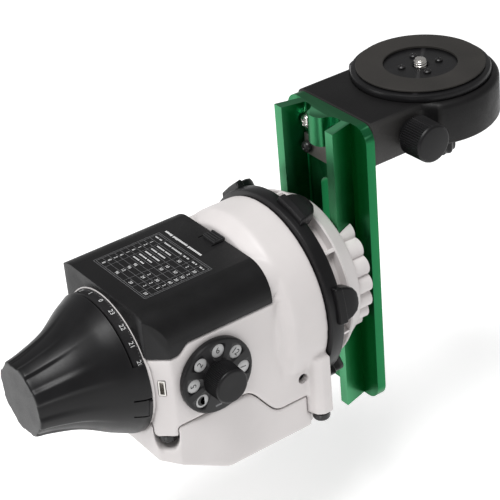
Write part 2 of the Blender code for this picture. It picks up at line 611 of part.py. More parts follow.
def drive():
    """Worm wheel, worm, two spur gears and the geared motor."""
    rim = toothed(WHEEL_TEETH, WHEEL_RADIUS, 0.0008, 0.0, AXIS_Z)
    hole = circle(0.0, AXIS_Z, SHAFT_RADIUS + GAP, 40)
    wheel = prism("worm_wheel", rim, WORM_X - 0.0045, WORM_X + 0.0045, "X", holes=[hole])
    paint("steel", wheel)
    pivot("worm_wheel", RA, wheel)
    worm = [(-0.0290, 0.0025), (-0.0130, 0.0025), (-0.0130, 0.0048)]
    ridges = 4
    pitch = 0.0260 / ridges
    for i in range(ridges):
        worm.append((-0.0130 + pitch * (i + 0.5), WORM_RADIUS))
        worm.append((-0.0130 + pitch * (i + 1), 0.0048))
    worm += [(0.0130, 0.0025), (0.0330, 0.0025)]
    screw = turned("worm_shaft", worm, (WORM_X, 0.0, WORM_Z), "Y", steps=14)
    paint("brass", screw)
    for name, low in (("worm_bearing_left", 0.0150), ("worm_bearing_right", -0.0200)):
        block = box(name, (WORM_X - 0.0045, low, 0.0034), (WORM_X + 0.0040, low + 0.0050, WORM_Z + 0.0045))
        cut(block, rod(name + "_bore", 0.0028, low - 0.01, low + 0.01, (WORM_X, 0, WORM_Z), "Y", group=CUTTERS))
        paint("steel", block)
    teeth = toothed(WORM_GEAR_TEETH, 0.0059, 0.0009, WORM_X, WORM_Z)
    worm_gear = prism("worm_gear", teeth, 0.0240, 0.0290, "Y", holes=[circle(WORM_X, WORM_Z, 0.0028, 16)])
    teeth = toothed(MOTOR_GEAR_TEETH, 0.0138, 0.0009, MOTOR_X, MOTOR_Z)
    motor_gear = prism("motor_gear", teeth, 0.0240, 0.0290, "Y", holes=[circle(MOTOR_X, MOTOR_Z, 0.0023, 16)])
    paint("brass", worm_gear, motor_gear)
    pivot("worm", (WORM_X, 0.0, WORM_Z), screw, worm_gear)
    pivot("motor", (MOTOR_X, 0.0, MOTOR_Z), motor_gear)
    case = [(-0.0310, 0.0086), (0.0200, 0.0086), (0.0200, 0.0040), (0.0220, 0.0040), (0.0220, 0.0020), (0.0280, 0.0020)]
    paint("steel", turned("gear_motor", case, (MOTOR_X, 0.0, MOTOR_Z), "Y", steps=24))


def clutch():
    disc_x = WORM_X + 0.0045 + GAP
    disc = rod("clutch_disc", 0.0300, disc_x, disc_x + 0.0030, RA, "X", bore=SHAFT_RADIUS + GAP, steps=32)
    paint("pad", disc)
    low = BAND_BACK_X + GAP
    high = SEAT_X - 0.0186
    profile = [(low, 0.0476), (low + 0.0008, 0.0484), (high - 0.0010, 0.0484), (high, 0.0474)]
    ring = turned("clutch_ring", profile, RA, "X", [(low, 0.0425), (high, 0.0425)], 40)
    for k in range(LUG_COUNT):
        outline = [(-0.0082, high - 0.0040), (0.0082, high - 0.0040)]
        outline += arc(0.0, SEAT_X - 0.0168, 0.0060, 0, 180, 8)
        lug = prism(f"lug_{k + 1}", outline, 0.0445, 0.0508, "Z")
        lug.matrix_world = Matrix(((0, 1, 0, 0), (-1, 0, 0, 0), (0, 0, 1, 0), (0, 0, 0, 1)))
        turn = LUG_START + 2 * math.pi * k / LUG_COUNT - math.pi / 2
        lug.matrix_world = Matrix.Translation(RA) @ Matrix.Rotation(turn, 4, "X") @ lug.matrix_world
        join(ring, lug)
    paint("black_plastic", ring)
    pivot("clutch_ring", RA, ring)


def lobed_outline():
    """The saddle's scalloped rim: a circle of lobes, each a small arc about its own centre."""
    centre_radius = 0.0300
    lobe_radius = 0.0050
    pitch = 2 * math.pi / LOBE_COUNT
    points = []
    for k in range(LOBE_COUNT):
        for i in range(4):
            offset = pitch * (i / 4 - 0.5)
            reach = math.sqrt(lobe_radius**2 - (centre_radius * math.sin(offset)) ** 2)
            r = centre_radius * math.cos(offset) + reach
            angle = LOBE_START + k * pitch + offset
            points.append((r * math.cos(angle), AXIS_Z + r * math.sin(angle)))
    return points


JAW_HEIGHT = 0.0092
FLANK = math.tan(math.radians(15))  # slope of the dovetail's sides


def saddle():
    """The platform with its dovetail groove: a fixed jaw on the -Y side, and a loose one that a knob draws in."""
    hub = BAND_BACK_X + 2 * GAP
    profile = [(hub, 0.0421), (SEAT_X - 0.0182, 0.0421), (SEAT_X - 0.0182, 0.0430), (SEAT_X - 0.0168, 0.0430)]
    profile += [(SEAT_X - 0.0168, 0.0370), (SEAT_X - 0.0102, 0.0370), (SEAT_X - 0.0102, 0.0430)]
    profile += [(SEAT_X - 0.0088, 0.0424), (SEAT_X - 0.0020, 0.0382), (SEAT_X - GAP, 0.0374)]
    bore = [(hub, 0.0204), (SEAT_X - 0.0187, 0.0204), (SEAT_X - 0.0187, 0.0112), (SEAT_X - GAP, 0.0112)]
    platform = turned("mounting_platform", profile, RA, "X", bore, 40)
    for k in range(12):
        rib = box(f"rib_{k}", (SEAT_X - 0.0172, 0.0340, AXIS_Z - 0.0011), (SEAT_X - 0.0098, 0.0425, AXIS_Z + 0.0011))
        turn_about(rib, RA, "X", math.radians(19 + 30 * k))
        join(platform, rib)
    rim = prism("fixed_jaw", lobed_outline(), SEAT_X - 0.0060, SEAT_X + JAW_HEIGHT, "X")
    edge = BAR_HALF + GAP
    top = SEAT_X + JAW_HEIGHT + 0.001
    groove = [(SEAT_X - GAP, -edge), (top, -edge + FLANK * (top - SEAT_X)), (top, 0.06), (SEAT_X - GAP, 0.06)]
    cut(rim, prism("groove", groove, 0.0, 0.12, "Z", CUTTERS))
    cut(rim, rod("rim_bore", 0.0200, -0.1, 0.1, RA, "X", group=CUTTERS))
    join(platform, rim)
    jaw = prism("clamp_jaw", lobed_outline(), SEAT_X + GAP, SEAT_X + JAW_HEIGHT, "X")
    free = [(SEAT_X - 0.001, edge), (top, edge - FLANK * (top - SEAT_X)), (top, -0.06), (SEAT_X - 0.001, -0.06)]
    cut(jaw, prism("free_side", free, 0.0, 0.12, "Z", CUTTERS))
    knob_at = (SEAT_X + 0.0046, 0.0, AXIS_Z)
    cut(jaw, rod("screw_way", 0.0028, 0.018, 0.060, knob_at, "Y", group=CUTTERS))
    knob = [(0.0232, 0.0024), (0.0392, 0.0024), (0.0392, 0.0060), (0.0412, 0.0075), (0.0508, 0.0075), (0.0520, 0.0065)]
    handle = turned("clamp_knob", knob, knob_at, "Y", steps=24)
    cut(platform, rod("screw_seat", 0.0028, 0.018, 0.060, knob_at, "Y", group=CUTTERS))
    paint("white_casting", platform, jaw)
    paint("black_plastic", handle)
    pivot("clamp_jaw", (SEAT_X, edge, AXIS_Z), jaw)
    pivot("clamp_knob", knob_at, handle)


SCREW_Z = AXIS_Z + 0.0712
SCREW_Y = 0.0103
STOP_LOW = AXIS_Z + 0.0534
STOP_HIGH = AXIS_Z + 0.0642
STOP_Z = AXIS_Z + 0.0580
SLOT_HIGH = AXIS_Z + 0.0440
SLOT_LOW = AXIS_Z - 0.0340


def dovetail_bar():
    """The green bar: a dovetail with an open channel, on a wider back plate."""
    x = SEAT_X
    half = [(x, BAR_HALF), (x, 0.0166), (x + CHANNEL_DEPTH, 0.0136)]
    back = [(x + PLATE_FRONT, BAR_HALF - FLANK * PLATE_FRONT), (x + PLATE_FRONT, PLATE_HALF), (x + BAR_DEPTH, PLATE_HALF)]
    outline = [half[0]] + back + [(u, -v) for u, v in reversed(back)] + [(u, -v) for u, v in half]
    outline += list(reversed(half[1:]))
    bar = prism("dovetail_bar", outline, BAR_BOTTOM, BAR_TOP, "Z")
    low_x = x + CHANNEL_DEPTH
    ridge = [(low_x + 0.001, -0.0082), (low_x, -0.0078), (x + 0.0062, -0.0044), (x + 0.0050, -0.0028)]
    ridge += [(u, -v) for u, v in reversed(ridge)]
    join(bar, prism("ridge", ridge, STOP_HIGH + GAP, BAR_TOP - 0.00002, "Z"))
    middle = (SLOT_HIGH + SLOT_LOW) / 2
    half_slot = (SLOT_HIGH - SLOT_LOW) / 2 - 0.0050
    slot = arc(0.0, middle + half_slot, 0.0050, 0, 180, 8) + arc(0.0, middle - half_slot, 0.0050, 180, 360, 8)
    cut(bar, prism("slot", slot, x - 0.01, x + 0.03, "X", CUTTERS))
    for side in (-1, 1):
        at = (0.0, side * SCREW_Y, SCREW_Z)
        cut(bar, rod(f"counterbore_{side}", 0.0047, x - 0.01, x + CHANNEL_DEPTH - GAP, at, "X", group=CUTTERS))
        cut(bar, rod(f"screw_hole_{side}", 0.0023, x, x + 0.03, at, "X", steps=20, group=CUTTERS))
        stop_at = (0.0, side * SCREW_Y, STOP_Z)
        cut(bar, rod(f"stop_hole_{side}", 0.0017, x, x + CHANNEL_DEPTH + 0.0045, stop_at, "X", steps=16, group=CUTTERS))
        for end, z in ((1, BAR_TOP), (-1, BAR_BOTTOM)):
            radius = 0.0080
            cy = side * (PLATE_HALF - radius)
            cz = z - end * radius
            name = f"plate_corner_{side}_{end}"
            cut(bar, plate_corner(name, side, end, cy, cz, radius, z))
    paint("green_anodised", bar)
    return bar


def plate_corner(name, side, end, cy, cz, radius, z):
    """A cutter that rounds one corner of the back plate, seen along X."""
    far_y = side * (PLATE_HALF + 0.002)
    far_z = z + end * 0.002
    points = []
    for i in range(7):
        t = math.radians(15 * i)
        points.append((cy + side * radius * math.cos(t), cz + end * radius * math.sin(t)))
    points = [(far_y, cz)] + points + [(cy, far_z), (far_y, far_z)]
    return prism(name, points, SEAT_X + PLATE_FRONT - 0.00001, SEAT_X + 0.03, "X", CUTTERS)


def bar_fittings(bar):
    floor = SEAT_X + CHANNEL_DEPTH
    made = [bar]
    for number, side in enumerate((1, -1), 1):
        at = (0.0, side * SCREW_Y, SCREW_Z)
        shape = [(floor - 0.0040, 0.0022), (floor - 0.0036, 0.0032), (floor - 0.0022, 0.0036), (floor - 0.0013, 0.0036)]
        shape += [(floor - 0.0013, 0.0043), (floor - GAP, 0.0043), (floor - GAP, 0.0020), (floor + 0.0130, 0.0020)]
        screw = turned(f"bar_screw_{number}", shape, at, "X", steps=12)
        paint("steel", screw)
        at = (0.0, side * SCREW_Y, STOP_Z)
        shape = [(floor - 0.0052, 0.0010), (floor - 0.0046, 0.0024), (floor - 0.0033, 0.0030), (floor - 0.0023, 0.0030)]
        shape += [(floor - 0.0023, 0.0014), (floor + 0.0030, 0.0014)]
        button = turned(f"stop_screw_{number}", shape, at, "X", steps=12)
        paint("black_plastic", button)
        made += [screw, button]
    low = floor - 0.0020
    plate = box("stop_plate", (low, -0.0134, STOP_LOW), (floor - GAP, 0.0134, STOP_HIGH))
    for side in (-1, 1):
        at = (0.0, side * SCREW_Y, STOP_Z)
        cut(plate, rod(f"stop_plate_hole_{side}", 0.0017, 0.0, 0.2, at, "X", steps=16, group=CUTTERS))
    paint("grey_plate", plate)
    made.append(plate)
    pivot("bar_slide", (SEAT_X, 0.0, AXIS_Z), *made)


def block_outline(radius, half):
    """The declination block from above: straight sides that swell into a round end about the turntable."""
    neck = SEAT_X + 0.0480
    join_angle = 118
    curve = arc(TABLE_X, 0.0, radius, -join_angle, join_angle, 22)
    u, v = curve[-1]
    blend = [(neck + (u - neck) * t, half + (v - half) * t * t) for t in (0.75, 0.5, 0.25, 0.0)]
    upper = blend + [(BLOCK_FRONT_X, half)]
    return curve + upper + [(x, -y) for x, y in reversed(upper)]


def declination_head():
    """The block that carries the turntable, with its slow-motion worm."""
    block = prism("dec_block", block_outline(0.0381, 0.0284), BLOCK_BOTTOM, BLOCK_TOP, "Z")
    soften(block, 0.0015, 1, 60)
    centre = (TABLE_X, 0.0, 0.0)
    floor = BLOCK_BOTTOM + 0.0035
    room = [(0.0, 0.0042), (floor, 0.0042), (floor, DEC_WHEEL_RADIUS + 0.0012), (0.3, DEC_WHEEL_RADIUS + 0.0012)]
    cut(block, turned("wheel_room", room, centre, "Z", steps=40, group=CUTTERS))
    way = [(-0.0500, 0.0034), (-0.0245, 0.0034), (-0.0245, 0.0062), (0.0200, 0.0062), (0.0200, 0.0034), (0.0230, 0.0034)]
    worm_at = (DEC_WORM_X, 0.0, DEC_WORM_Z)
    cut(block, turned("worm_room", way, worm_at, "Y", steps=28, group=CUTTERS))
    for side in (-1, 1):
        at = (0.0, side * SCREW_Y, SCREW_Z)
        cut(block, rod(f"thread_{side}", 0.0023, 0.0, SEAT_X + 0.0265, at, "X", steps=20, group=CUTTERS))
    paint("black_plastic", block)
    plate_low = BLOCK_TOP + GAP
    table = [(BLOCK_BOTTOM + 0.0050, 0.0080), (BLOCK_TOP - 0.0050, 0.0080), (BLOCK_TOP - 0.0050, 0.0240)]
    table += [(plate_low, 0.0240), (plate_low, TABLE_RADIUS), (TABLE_TOP - 0.0008, TABLE_RADIUS)]
    table += [(TABLE_TOP, TABLE_RADIUS - 0.0008)]
    bore = [(BLOCK_BOTTOM + 0.0050, 0.0036), (TABLE_TOP, 0.0036)]
    turntable = turned("turntable", table, centre, "Z", bore, 40)
    pad_low = TABLE_TOP + GAP
    pad = turned("turntable_pad", [(pad_low, 0.0312), (pad_low + 0.0012, 0.0312)], centre, "Z",
                 [(pad_low, 0.0179), (pad_low + 0.0012, 0.0179)], 40)
    paint("black_plastic", turntable)
    paint("pad", pad)
    moving = [turntable, pad]
    for k in range(4):
        angle = math.radians(70 + 90 * k)
        at = (TABLE_X + 0.0095 * math.cos(angle), 0.0095 * math.sin(angle), 0.0)
        cut(turntable, rod(f"small_hole_{k}", 0.0013, TABLE_TOP - 0.0045, 0.3, at, "Z", steps=12, group=CUTTERS))
        shape = [(TABLE_TOP - 0.0040, 0.0010), (TABLE_TOP + GAP, 0.0010), (TABLE_TOP + GAP, 0.0019)]
        shape += [(TABLE_TOP + 0.0010, 0.0017), (TABLE_TOP + 0.0014, 0.0008)]
        screw = turned(f"turntable_screw_{k + 1}", shape, at, "Z", steps=8)
        paint("steel", screw)
        moving.append(screw)
    rim = toothed(48, DEC_WHEEL_RADIUS, 0.0008, TABLE_X, 0.0)
    low = BLOCK_BOTTOM + 0.0056
    wheel = prism("dec_worm_wheel", rim, low, BLOCK_TOP - 0.0054, "Z", holes=[circle(TABLE_X, 0.0, 0.0083, 32)])
    paint("brass", wheel)
    pivot("turntable", centre, wheel, *moving)
    return block


def camera_screw():
    """The camera screw up the turntable's middle, and the lobed knob under the block that turns it."""
    centre = (TABLE_X, 0.0, 0.0)
    low = BLOCK_BOTTOM - 0.0095
    stem = [(low, 0.0032), (TABLE_TOP + 0.0004, 0.0032), (TABLE_TOP + 0.0007, 0.0028), (TABLE_TOP + 0.0010, 0.0032)]
    stem += [(TABLE_TOP + 0.0024, 0.0032), (TABLE_TOP + 0.0031, 0.0025)]
    screw = turned("camera_screw", stem, centre, "Z", steps=20)
    paint("steel", screw)
    outline = []
    lobes = 5
    for i in range(40):
        angle = 2 * math.pi * i / 40
        wave = 0.5 + 0.5 * math.cos(lobes * (angle - STAR_TURN))
        reach = 0.0185 + 0.0105 * wave**0.7
        outline.append((TABLE_X + reach * math.cos(angle), reach * math.sin(angle)))
    star = prism("star_knob", outline, BLOCK_BOTTOM - 0.0122, BLOCK_BOTTOM - 0.0012, "Z")
    soften(star, 0.0012, 1, 60)
    cut(star, rod("star_bore", 0.0035, BLOCK_BOTTOM - 0.0098, 0.3, centre, "Z", steps=24, group=CUTTERS))
    paint("black_plastic", star)
    pivot("camera_screw", centre, screw, star)


STAR_TURN = math.radians(-105)


def slow_motion():
    at = (DEC_WORM_X, 0.0, DEC_WORM_Z)
    worm = [(-0.0220, 0.0030), (-0.0100, 0.0030), (-0.0100, 0.0046)]
    ridges = 4
    pitch = 0.0200 / ridges
    for i in range(ridges):
        worm.append((-0.0100 + pitch * (i + 0.5), 0.0054))
        worm.append((-0.0100 + pitch * (i + 1), 0.0046))
    worm += [(0.0100, 0.0030), (0.0420, 0.0030)]
    shaft = turned("dec_worm", worm, at, "-Y", steps=14)
    paint("steel", shaft)
    collar = 0.0284 + GAP
    shape = [(collar, 0.0078), (0.0312, 0.0078), (0.0318, 0.0096), (0.0440, 0.0096), (0.0452, 0.0088)]
    bore = [(collar, 0.0033), (0.0425, 0.0033)]
    knob = turned("dec_knob", shape, at, "-Y", steps=28)
    cut(knob, turned("knob_bore", [(collar - 0.001, 0.0033), (bore[1][0], 0.0033)], at, "-Y", steps=20, group=CUTTERS))
    paint("black_plastic", knob)
    pivot("dec_worm", at, shaft, knob)


paint("white_casting", main_housing(), base_housing())
fasteners()
battery_cover()
cells()
shaft_line()
polar_cap()
mode_dial()
side_controls()
drive()
clutch()
saddle()
bar_fittings(dovetail_bar())
declination_head()
camera_screw()
slow_motion()
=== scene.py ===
"""The looks of the equatorial mount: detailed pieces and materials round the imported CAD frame.

Units are metres. +X runs along the right ascension axis to the saddle, +Z is up, the dial faces -Y.
"""

import json
import math
import random

import bmesh
import bpy
from mathutils import Matrix, Vector


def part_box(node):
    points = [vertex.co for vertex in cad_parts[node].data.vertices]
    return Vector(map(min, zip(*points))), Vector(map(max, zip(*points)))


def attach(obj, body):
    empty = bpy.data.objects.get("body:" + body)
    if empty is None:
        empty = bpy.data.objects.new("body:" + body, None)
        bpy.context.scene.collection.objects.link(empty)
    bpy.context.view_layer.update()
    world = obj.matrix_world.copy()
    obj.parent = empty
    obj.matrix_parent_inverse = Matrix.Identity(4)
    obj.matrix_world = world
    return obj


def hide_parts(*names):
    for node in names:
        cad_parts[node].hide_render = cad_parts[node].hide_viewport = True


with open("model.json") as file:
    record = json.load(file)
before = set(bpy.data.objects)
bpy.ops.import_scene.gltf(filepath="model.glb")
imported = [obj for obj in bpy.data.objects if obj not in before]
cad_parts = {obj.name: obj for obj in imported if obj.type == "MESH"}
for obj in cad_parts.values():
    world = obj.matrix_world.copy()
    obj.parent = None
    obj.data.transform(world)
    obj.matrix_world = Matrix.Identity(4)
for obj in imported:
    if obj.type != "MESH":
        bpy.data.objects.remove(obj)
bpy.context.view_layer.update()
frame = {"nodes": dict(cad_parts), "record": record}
random.seed(7)
MM = 0.001


# ---------------------------------------------------------------- places taken from the frame

def span(node, axis):
    """Low and high of a CAD node along one axis."""
    low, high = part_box(node)
    return low[axis], high[axis]


SEAT_X = span("dovetail_bar", 0)[0]
BAR_BACK_X = span("dovetail_bar", 0)[1]
BAR_BOTTOM, BAR_TOP = span("dovetail_bar", 2)
AXIS_Z = sum(span("worm_wheel", 2)) / 2
FRONT_X = span("battery_cover", 0)[0]
COVER_BACK_X = span("battery_cover", 0)[1]
COVER_HALF = span("battery_cover", 1)[1]
COVER_TOP = AXIS_Z + 38.3 * MM
CAP_END_X = span("polar_cap", 0)[0]
CAP_RIM_X = span("polar_cap", 0)[1]
BAND_BACK_X = span("main_housing", 0)[1]
BAND_RADIUS = span("main_housing", 1)[1]
BAND_FRONT_X = SEAT_X - 45 * MM
RING_FRONT_X = span("clutch_ring", 0)[0]
DIAL = Vector((sum(span("dial_plate", 0)) / 2, span("dial_plate", 1)[1], sum(span("dial_plate", 2)) / 2))
DIAL_RADIUS = (span("dial_plate", 0)[1] - span("dial_plate", 0)[0]) / 2
BLOCK_FRONT_X = span("dec_block", 0)[0]
BLOCK_BOTTOM, BLOCK_TOP = span("dec_block", 2)
TABLE_X = sum(span("turntable_pad", 0)) / 2
TABLE_TOP = span("turntable", 2)[1]
TABLE_RADIUS = (span("turntable", 0)[1] - span("turntable", 0)[0]) / 2
PAD_LOW, PAD_TOP = span("turntable_pad", 2)
PAD_RADIUS = (span("turntable_pad", 0)[1] - span("turntable_pad", 0)[0]) / 2
KNOB_AT = Vector((sum(span("dec_knob", 0)) / 2, 0.0, sum(span("dec_knob", 2)) / 2))
RA = Vector((0.0, 0.0, AXIS_Z))


# ---------------------------------------------------------------- materials

def noise(tree, scale, detail=2.0, stretch=None):
    """A noise texture in real units: scale is in features a metre."""
    nodes = tree.nodes
    place = nodes.new("ShaderNodeTexCoord")
    source = place.outputs["Object"]
    if stretch:
        mapping = nodes.new("ShaderNodeMapping")
        mapping.inputs["Scale"].default_value = stretch
        tree.links.new(source, mapping.inputs["Vector"])
        source = mapping.outputs["Vector"]
    texture = nodes.new("ShaderNodeTexNoise")
    texture.inputs["Scale"].default_value = scale
    texture.inputs["Detail"].default_value = detail
    texture.inputs["Roughness"].default_value = 0.5
    tree.links.new(source, texture.inputs["Vector"])
    return texture.outputs["Fac"]


def spread(tree, value, low, high, from_low=0.3, from_high=0.7):
    """Maps a noise value to a range."""
    node = tree.nodes.new("ShaderNodeMapRange")
    node.inputs["From Min"].default_value = from_low
    node.inputs["From Max"].default_value = from_high
    node.inputs["To Min"].default_value = low
    node.inputs["To Max"].default_value = high
    tree.links.new(value, node.inputs["Value"])
    return node.outputs["Result"]


def blend_colors(tree, factor, first, second):
    node = tree.nodes.new("ShaderNodeMix")
    node.data_type = "RGBA"
    tree.links.new(factor, node.inputs["Factor"])
    for socket, color in ((node.inputs[6], first), (node.inputs[7], second)):
        if isinstance(color, tuple):
            socket.default_value = (*color, 1.0)
        else:
            tree.links.new(color, socket)
    return node.outputs[2]


def surface(name, color, roughness, metallic=0.0, tint=0.12, grain=2600.0, depth=0.02, relief=0.3, edge_wear_and_highlight=0.0,
            edge_wear_and_highlight_color=(0.6, 0.6, 0.6), rough_spread=0.06, stretch=None, coat=0.0, specular=0.35):
    """A moulded, painted or machined surface: mottled colour, uneven gloss, fine relief, and convex edges
    that blend to a lighter colour, which is rubbed wear on the dark pieces and a painted highlight on the
    white paint and the green anodising.

    grain is in bumps a metre, and depth is their height in millimetres.
    """
    material = bpy.data.materials.new(name)
    material.use_nodes = True
    tree = material.node_tree
    shader = tree.nodes["Principled BSDF"]
    shader.inputs["Metallic"].default_value = metallic
    shader.inputs["Coat Weight"].default_value = coat
    shader.inputs["Coat Roughness"].default_value = 0.2
    shader.inputs["Specular IOR Level"].default_value = specular
    darker = tuple(c * (1 - tint) for c in color)
    lighter = tuple(min(1.0, c * (1 + tint)) for c in color)
    cloud = noise(tree, 45.0, 4.0)
    base = blend_colors(tree, spread(tree, cloud, 0.0, 1.0), darker, lighter)
    # Convex edges blend to the edge colour: rubbed wear on the dark pieces, a painted highlight on the white
    # and the green.
    if edge_wear_and_highlight:
        edge = tree.nodes.new("ShaderNodeNewGeometry").outputs["Pointiness"]
        rubbed_and_highlit_edges = spread(tree, edge, 0.0, edge_wear_and_highlight, 0.53, 0.62)
        base = blend_colors(tree, rubbed_and_highlit_edges, base, edge_wear_and_highlight_color)
    tree.links.new(base, shader.inputs["Base Color"])
    fine = noise(tree, grain, 3.0, stretch)
    broad = noise(tree, 90.0, 2.0)
    mixed = tree.nodes.new("ShaderNodeMath")
    mixed.operation = "MULTIPLY_ADD"
    mixed.inputs[1].default_value = 0.5
    tree.links.new(fine, mixed.inputs[0])
    half = tree.nodes.new("ShaderNodeMath")
    half.operation = "MULTIPLY"
    half.inputs[1].default_value = 0.5
    tree.links.new(broad, half.inputs[0])
    tree.links.new(half.outputs[0], mixed.inputs[2])
    rough = spread(tree, mixed.outputs[0], roughness - rough_spread, roughness + rough_spread, 0.35, 0.65)
    tree.links.new(rough, shader.inputs["Roughness"])
    bump = tree.nodes.new("ShaderNodeBump")
    bump.inputs["Strength"].default_value = relief
    bump.inputs["Distance"].default_value = depth * MM
    tree.links.new(fine, bump.inputs["Height"])
    tree.links.new(bump.outputs["Normal"], shader.inputs["Normal"])
    return material


# Its lighter edge colour is a painted highlight along the casting's edges.
WHITE = surface("white_paint", (0.63, 0.598, 0.592), 0.42, tint=0.03, grain=1500.0, depth=0.05, relief=0.35,
                edge_wear_and_highlight=0.25, edge_wear_and_highlight_color=(0.80, 0.78, 0.77))
BLACK = surface("black_moulding", (0.0060, 0.0058, 0.0062), 0.44, tint=0.25, grain=1900.0, depth=0.10,
                relief=0.7,
                edge_wear_and_highlight=0.4, edge_wear_and_highlight_color=(0.07, 0.07, 0.072), rough_spread=0.10, specular=0.20)
SATIN = surface("black_satin_moulding", (0.0060, 0.0058, 0.0064), 0.36, tint=0.25, grain=2400.0, depth=0.04,
                relief=0.35, edge_wear_and_highlight=0.35, edge_wear_and_highlight_color=(0.05, 0.048, 0.05), rough_spread=0.07, specular=0.22)
CASTING = surface("black_paint", (0.0055, 0.0052, 0.0055), 0.48, tint=0.3, grain=1700.0, depth=0.10,
                  relief=0.8,
                  edge_wear_and_highlight=0.5, edge_wear_and_highlight_color=(0.08, 0.077, 0.074), rough_spread=0.10, specular=0.18)
# Its bright green edge colour is a painted highlight along the bar's edges.
GREEN = surface("green_anodising", (0.005, 0.125, 0.038), 0.34, metallic=1.0, tint=0.06, grain=1800.0,
                depth=0.008,
                relief=0.10, edge_wear_and_highlight=0.7, edge_wear_and_highlight_color=(0.16, 0.60, 0.30), rough_spread=0.03, stretch=(1.0, 1.0, 0.05))
STEEL = surface("bright_steel", (0.62, 0.60, 0.57), 0.24, metallic=1.0, tint=0.10, grain=2500.0, depth=0.01,
                relief=0.3, rough_spread=0.06)
DARK_STEEL = surface("blackened_steel", (0.022, 0.021, 0.022), 0.30, metallic=0.6, tint=0.2, grain=3000.0,
                     depth=0.02, relief=0.3, edge_wear_and_highlight=0.4, edge_wear_and_highlight_color=(0.12, 0.12, 0.12))
BRASS = surface("machined_brass", (0.62, 0.43, 0.17), 0.30, metallic=1.0, tint=0.10, grain=2500.0, depth=0.01,
                relief=0.3)
ALLOY = surface("machined_alloy", (0.58, 0.58, 0.59), 0.33, metallic=1.0, tint=0.08, grain=2200.0, depth=0.01,
                relief=0.3)
PAD = surface("rubber_pad", (0.024, 0.022, 0.020), 0.82, tint=0.2, grain=1600.0, depth=0.05, relief=0.6,
              rough_spread=0.05)
GREY = surface("grey_plate", (0.16, 0.145, 0.135), 0.42, metallic=0.8, tint=0.1, grain=2200.0, depth=0.02,
               relief=0.3, edge_wear_and_highlight=0.3, edge_wear_and_highlight_color=(0.3, 0.28, 0.27))
PRINT = surface("white_print", (0.62, 0.62, 0.62), 0.55, tint=0.08, grain=4000.0, depth=0.01, relief=0.2)
DIM_PRINT = surface("grey_print", (0.17, 0.17, 0.175), 0.55, tint=0.1, grain=4000.0, depth=0.01, relief=0.2)
INK = surface("black_print", (0.012, 0.012, 0.012), 0.5, tint=0.1, grain=4000.0, depth=0.01, relief=0.2)
LAMP = surface("dial_window", (0.50, 0.50, 0.50), 0.35, tint=0.05, grain=2500.0, depth=0.01, relief=0.2)
WRAP = surface("cell_wrap", (0.04, 0.11, 0.30), 0.32, tint=0.08, grain=1500.0, depth=0.01, relief=0.2)
BOARD = surface("board_lacquer", (0.015, 0.13, 0.05), 0.4, tint=0.2, grain=900.0, depth=0.03, relief=0.4)
GLASS = surface("coated_glass", (0.10, 0.12, 0.14), 0.05, tint=0.1, grain=500.0, depth=0.002, relief=0.1,
                rough_spread=0.02, coat=1.0)


# ---------------------------------------------------------------- mesh tools

def add(name, shape, material, smooth=32):
    """An object with the given bmesh, facing out, smooth but for edges sharper than the angle."""
    bmesh.ops.recalc_face_normals(shape, faces=shape.faces)
    mesh = bpy.data.meshes.new(name)
    shape.to_mesh(mesh)
    shape.free()
    mesh.shade_smooth()
    mesh.set_sharp_from_angle(angle=math.radians(smooth))
    mesh.materials.append(material)
    obj = bpy.data.objects.new(name, mesh)
    bpy.context.scene.collection.objects.link(obj)
    return obj


FACING = {
    "X": Matrix(((0, 0, 1, 0), (1, 0, 0, 0), (0, 1, 0, 0), (0, 0, 0, 1))),
    "-Y": Matrix(((1, 0, 0, 0), (0, 0, -1, 0), (0, 1, 0, 0), (0, 0, 0, 1))),
    "Y": Matrix(((1, 0, 0, 0), (0, 0, 1, 0), (0, -1, 0, 0), (0, 0, 0, 1))),
    "Z": Matrix.Identity(4),
}


def facing(axis, origin):
    """Takes an upright shape's own Z to the axis, at origin."""
    return Matrix.Translation(origin) @ FACING[axis]


def lathe(name, profile, origin, axis, material, steps=96, ring=False, wave=None, smooth=32, waved_from=0.0):
    """Revolves (distance, radius) points. A ring's profile closes on itself, and any other has flat ends.

    wave adds to the radius of the points that lie at least waved_from off the axis.
    """
    shape = bmesh.new()
    loops = []
    for h, r in profile:
        loop = []
        for i in range(steps):
            angle = 2 * math.pi * i / steps
            reach = r + (wave(h, angle) if wave and r > waved_from else 0.0)
            loop.append(shape.verts.new((reach * math.cos(angle), reach * math.sin(angle), h)))
        loops.append(loop)
    following = loops[1:] + ([loops[0]] if ring else [])
    for first, second in zip(loops, following):
        for i in range(steps):
            j = (i + 1) % steps
            shape.faces.new((first[i], first[j], second[j], second[i]))
    if not ring:
        shape.faces.new(loops[0])
        shape.faces.new(loops[-1])
    shape.transform(facing(axis, origin))
    return add(name, shape, material, smooth)


def prism(name, outline, low, high, axis, material, smooth=32, origin=(0, 0, 0)):
    """A flat outline pushed along an axis: (y, z) points for X, (x, z) for -Y and (x, y) for Z.

    For -Y, low and high are distances towards -Y.
    """
    shape = bmesh.new()
    face = shape.faces.new([shape.verts.new((u, v, low)) for u, v in outline])
    made = bmesh.ops.extrude_face_region(shape, geom=[face])
    top = [item for item in made["geom"] if isinstance(item, bmesh.types.BMVert)]
    bmesh.ops.translate(shape, vec=(0, 0, high - low), verts=top)
    shape.transform(facing(axis, origin))
    return add(name, shape, material, smooth)


def block(name, low, high, material=None):
    shape = bmesh.new()
    bmesh.ops.create_cube(shape, size=1.0)
    bmesh.ops.scale(shape, vec=[b - a for a, b in zip(low, high)], verts=shape.verts)
    bmesh.ops.translate(shape, vec=[(a + b) / 2 for a, b in zip(low, high)], verts=shape.verts)
    return add(name, shape, material or BLACK)


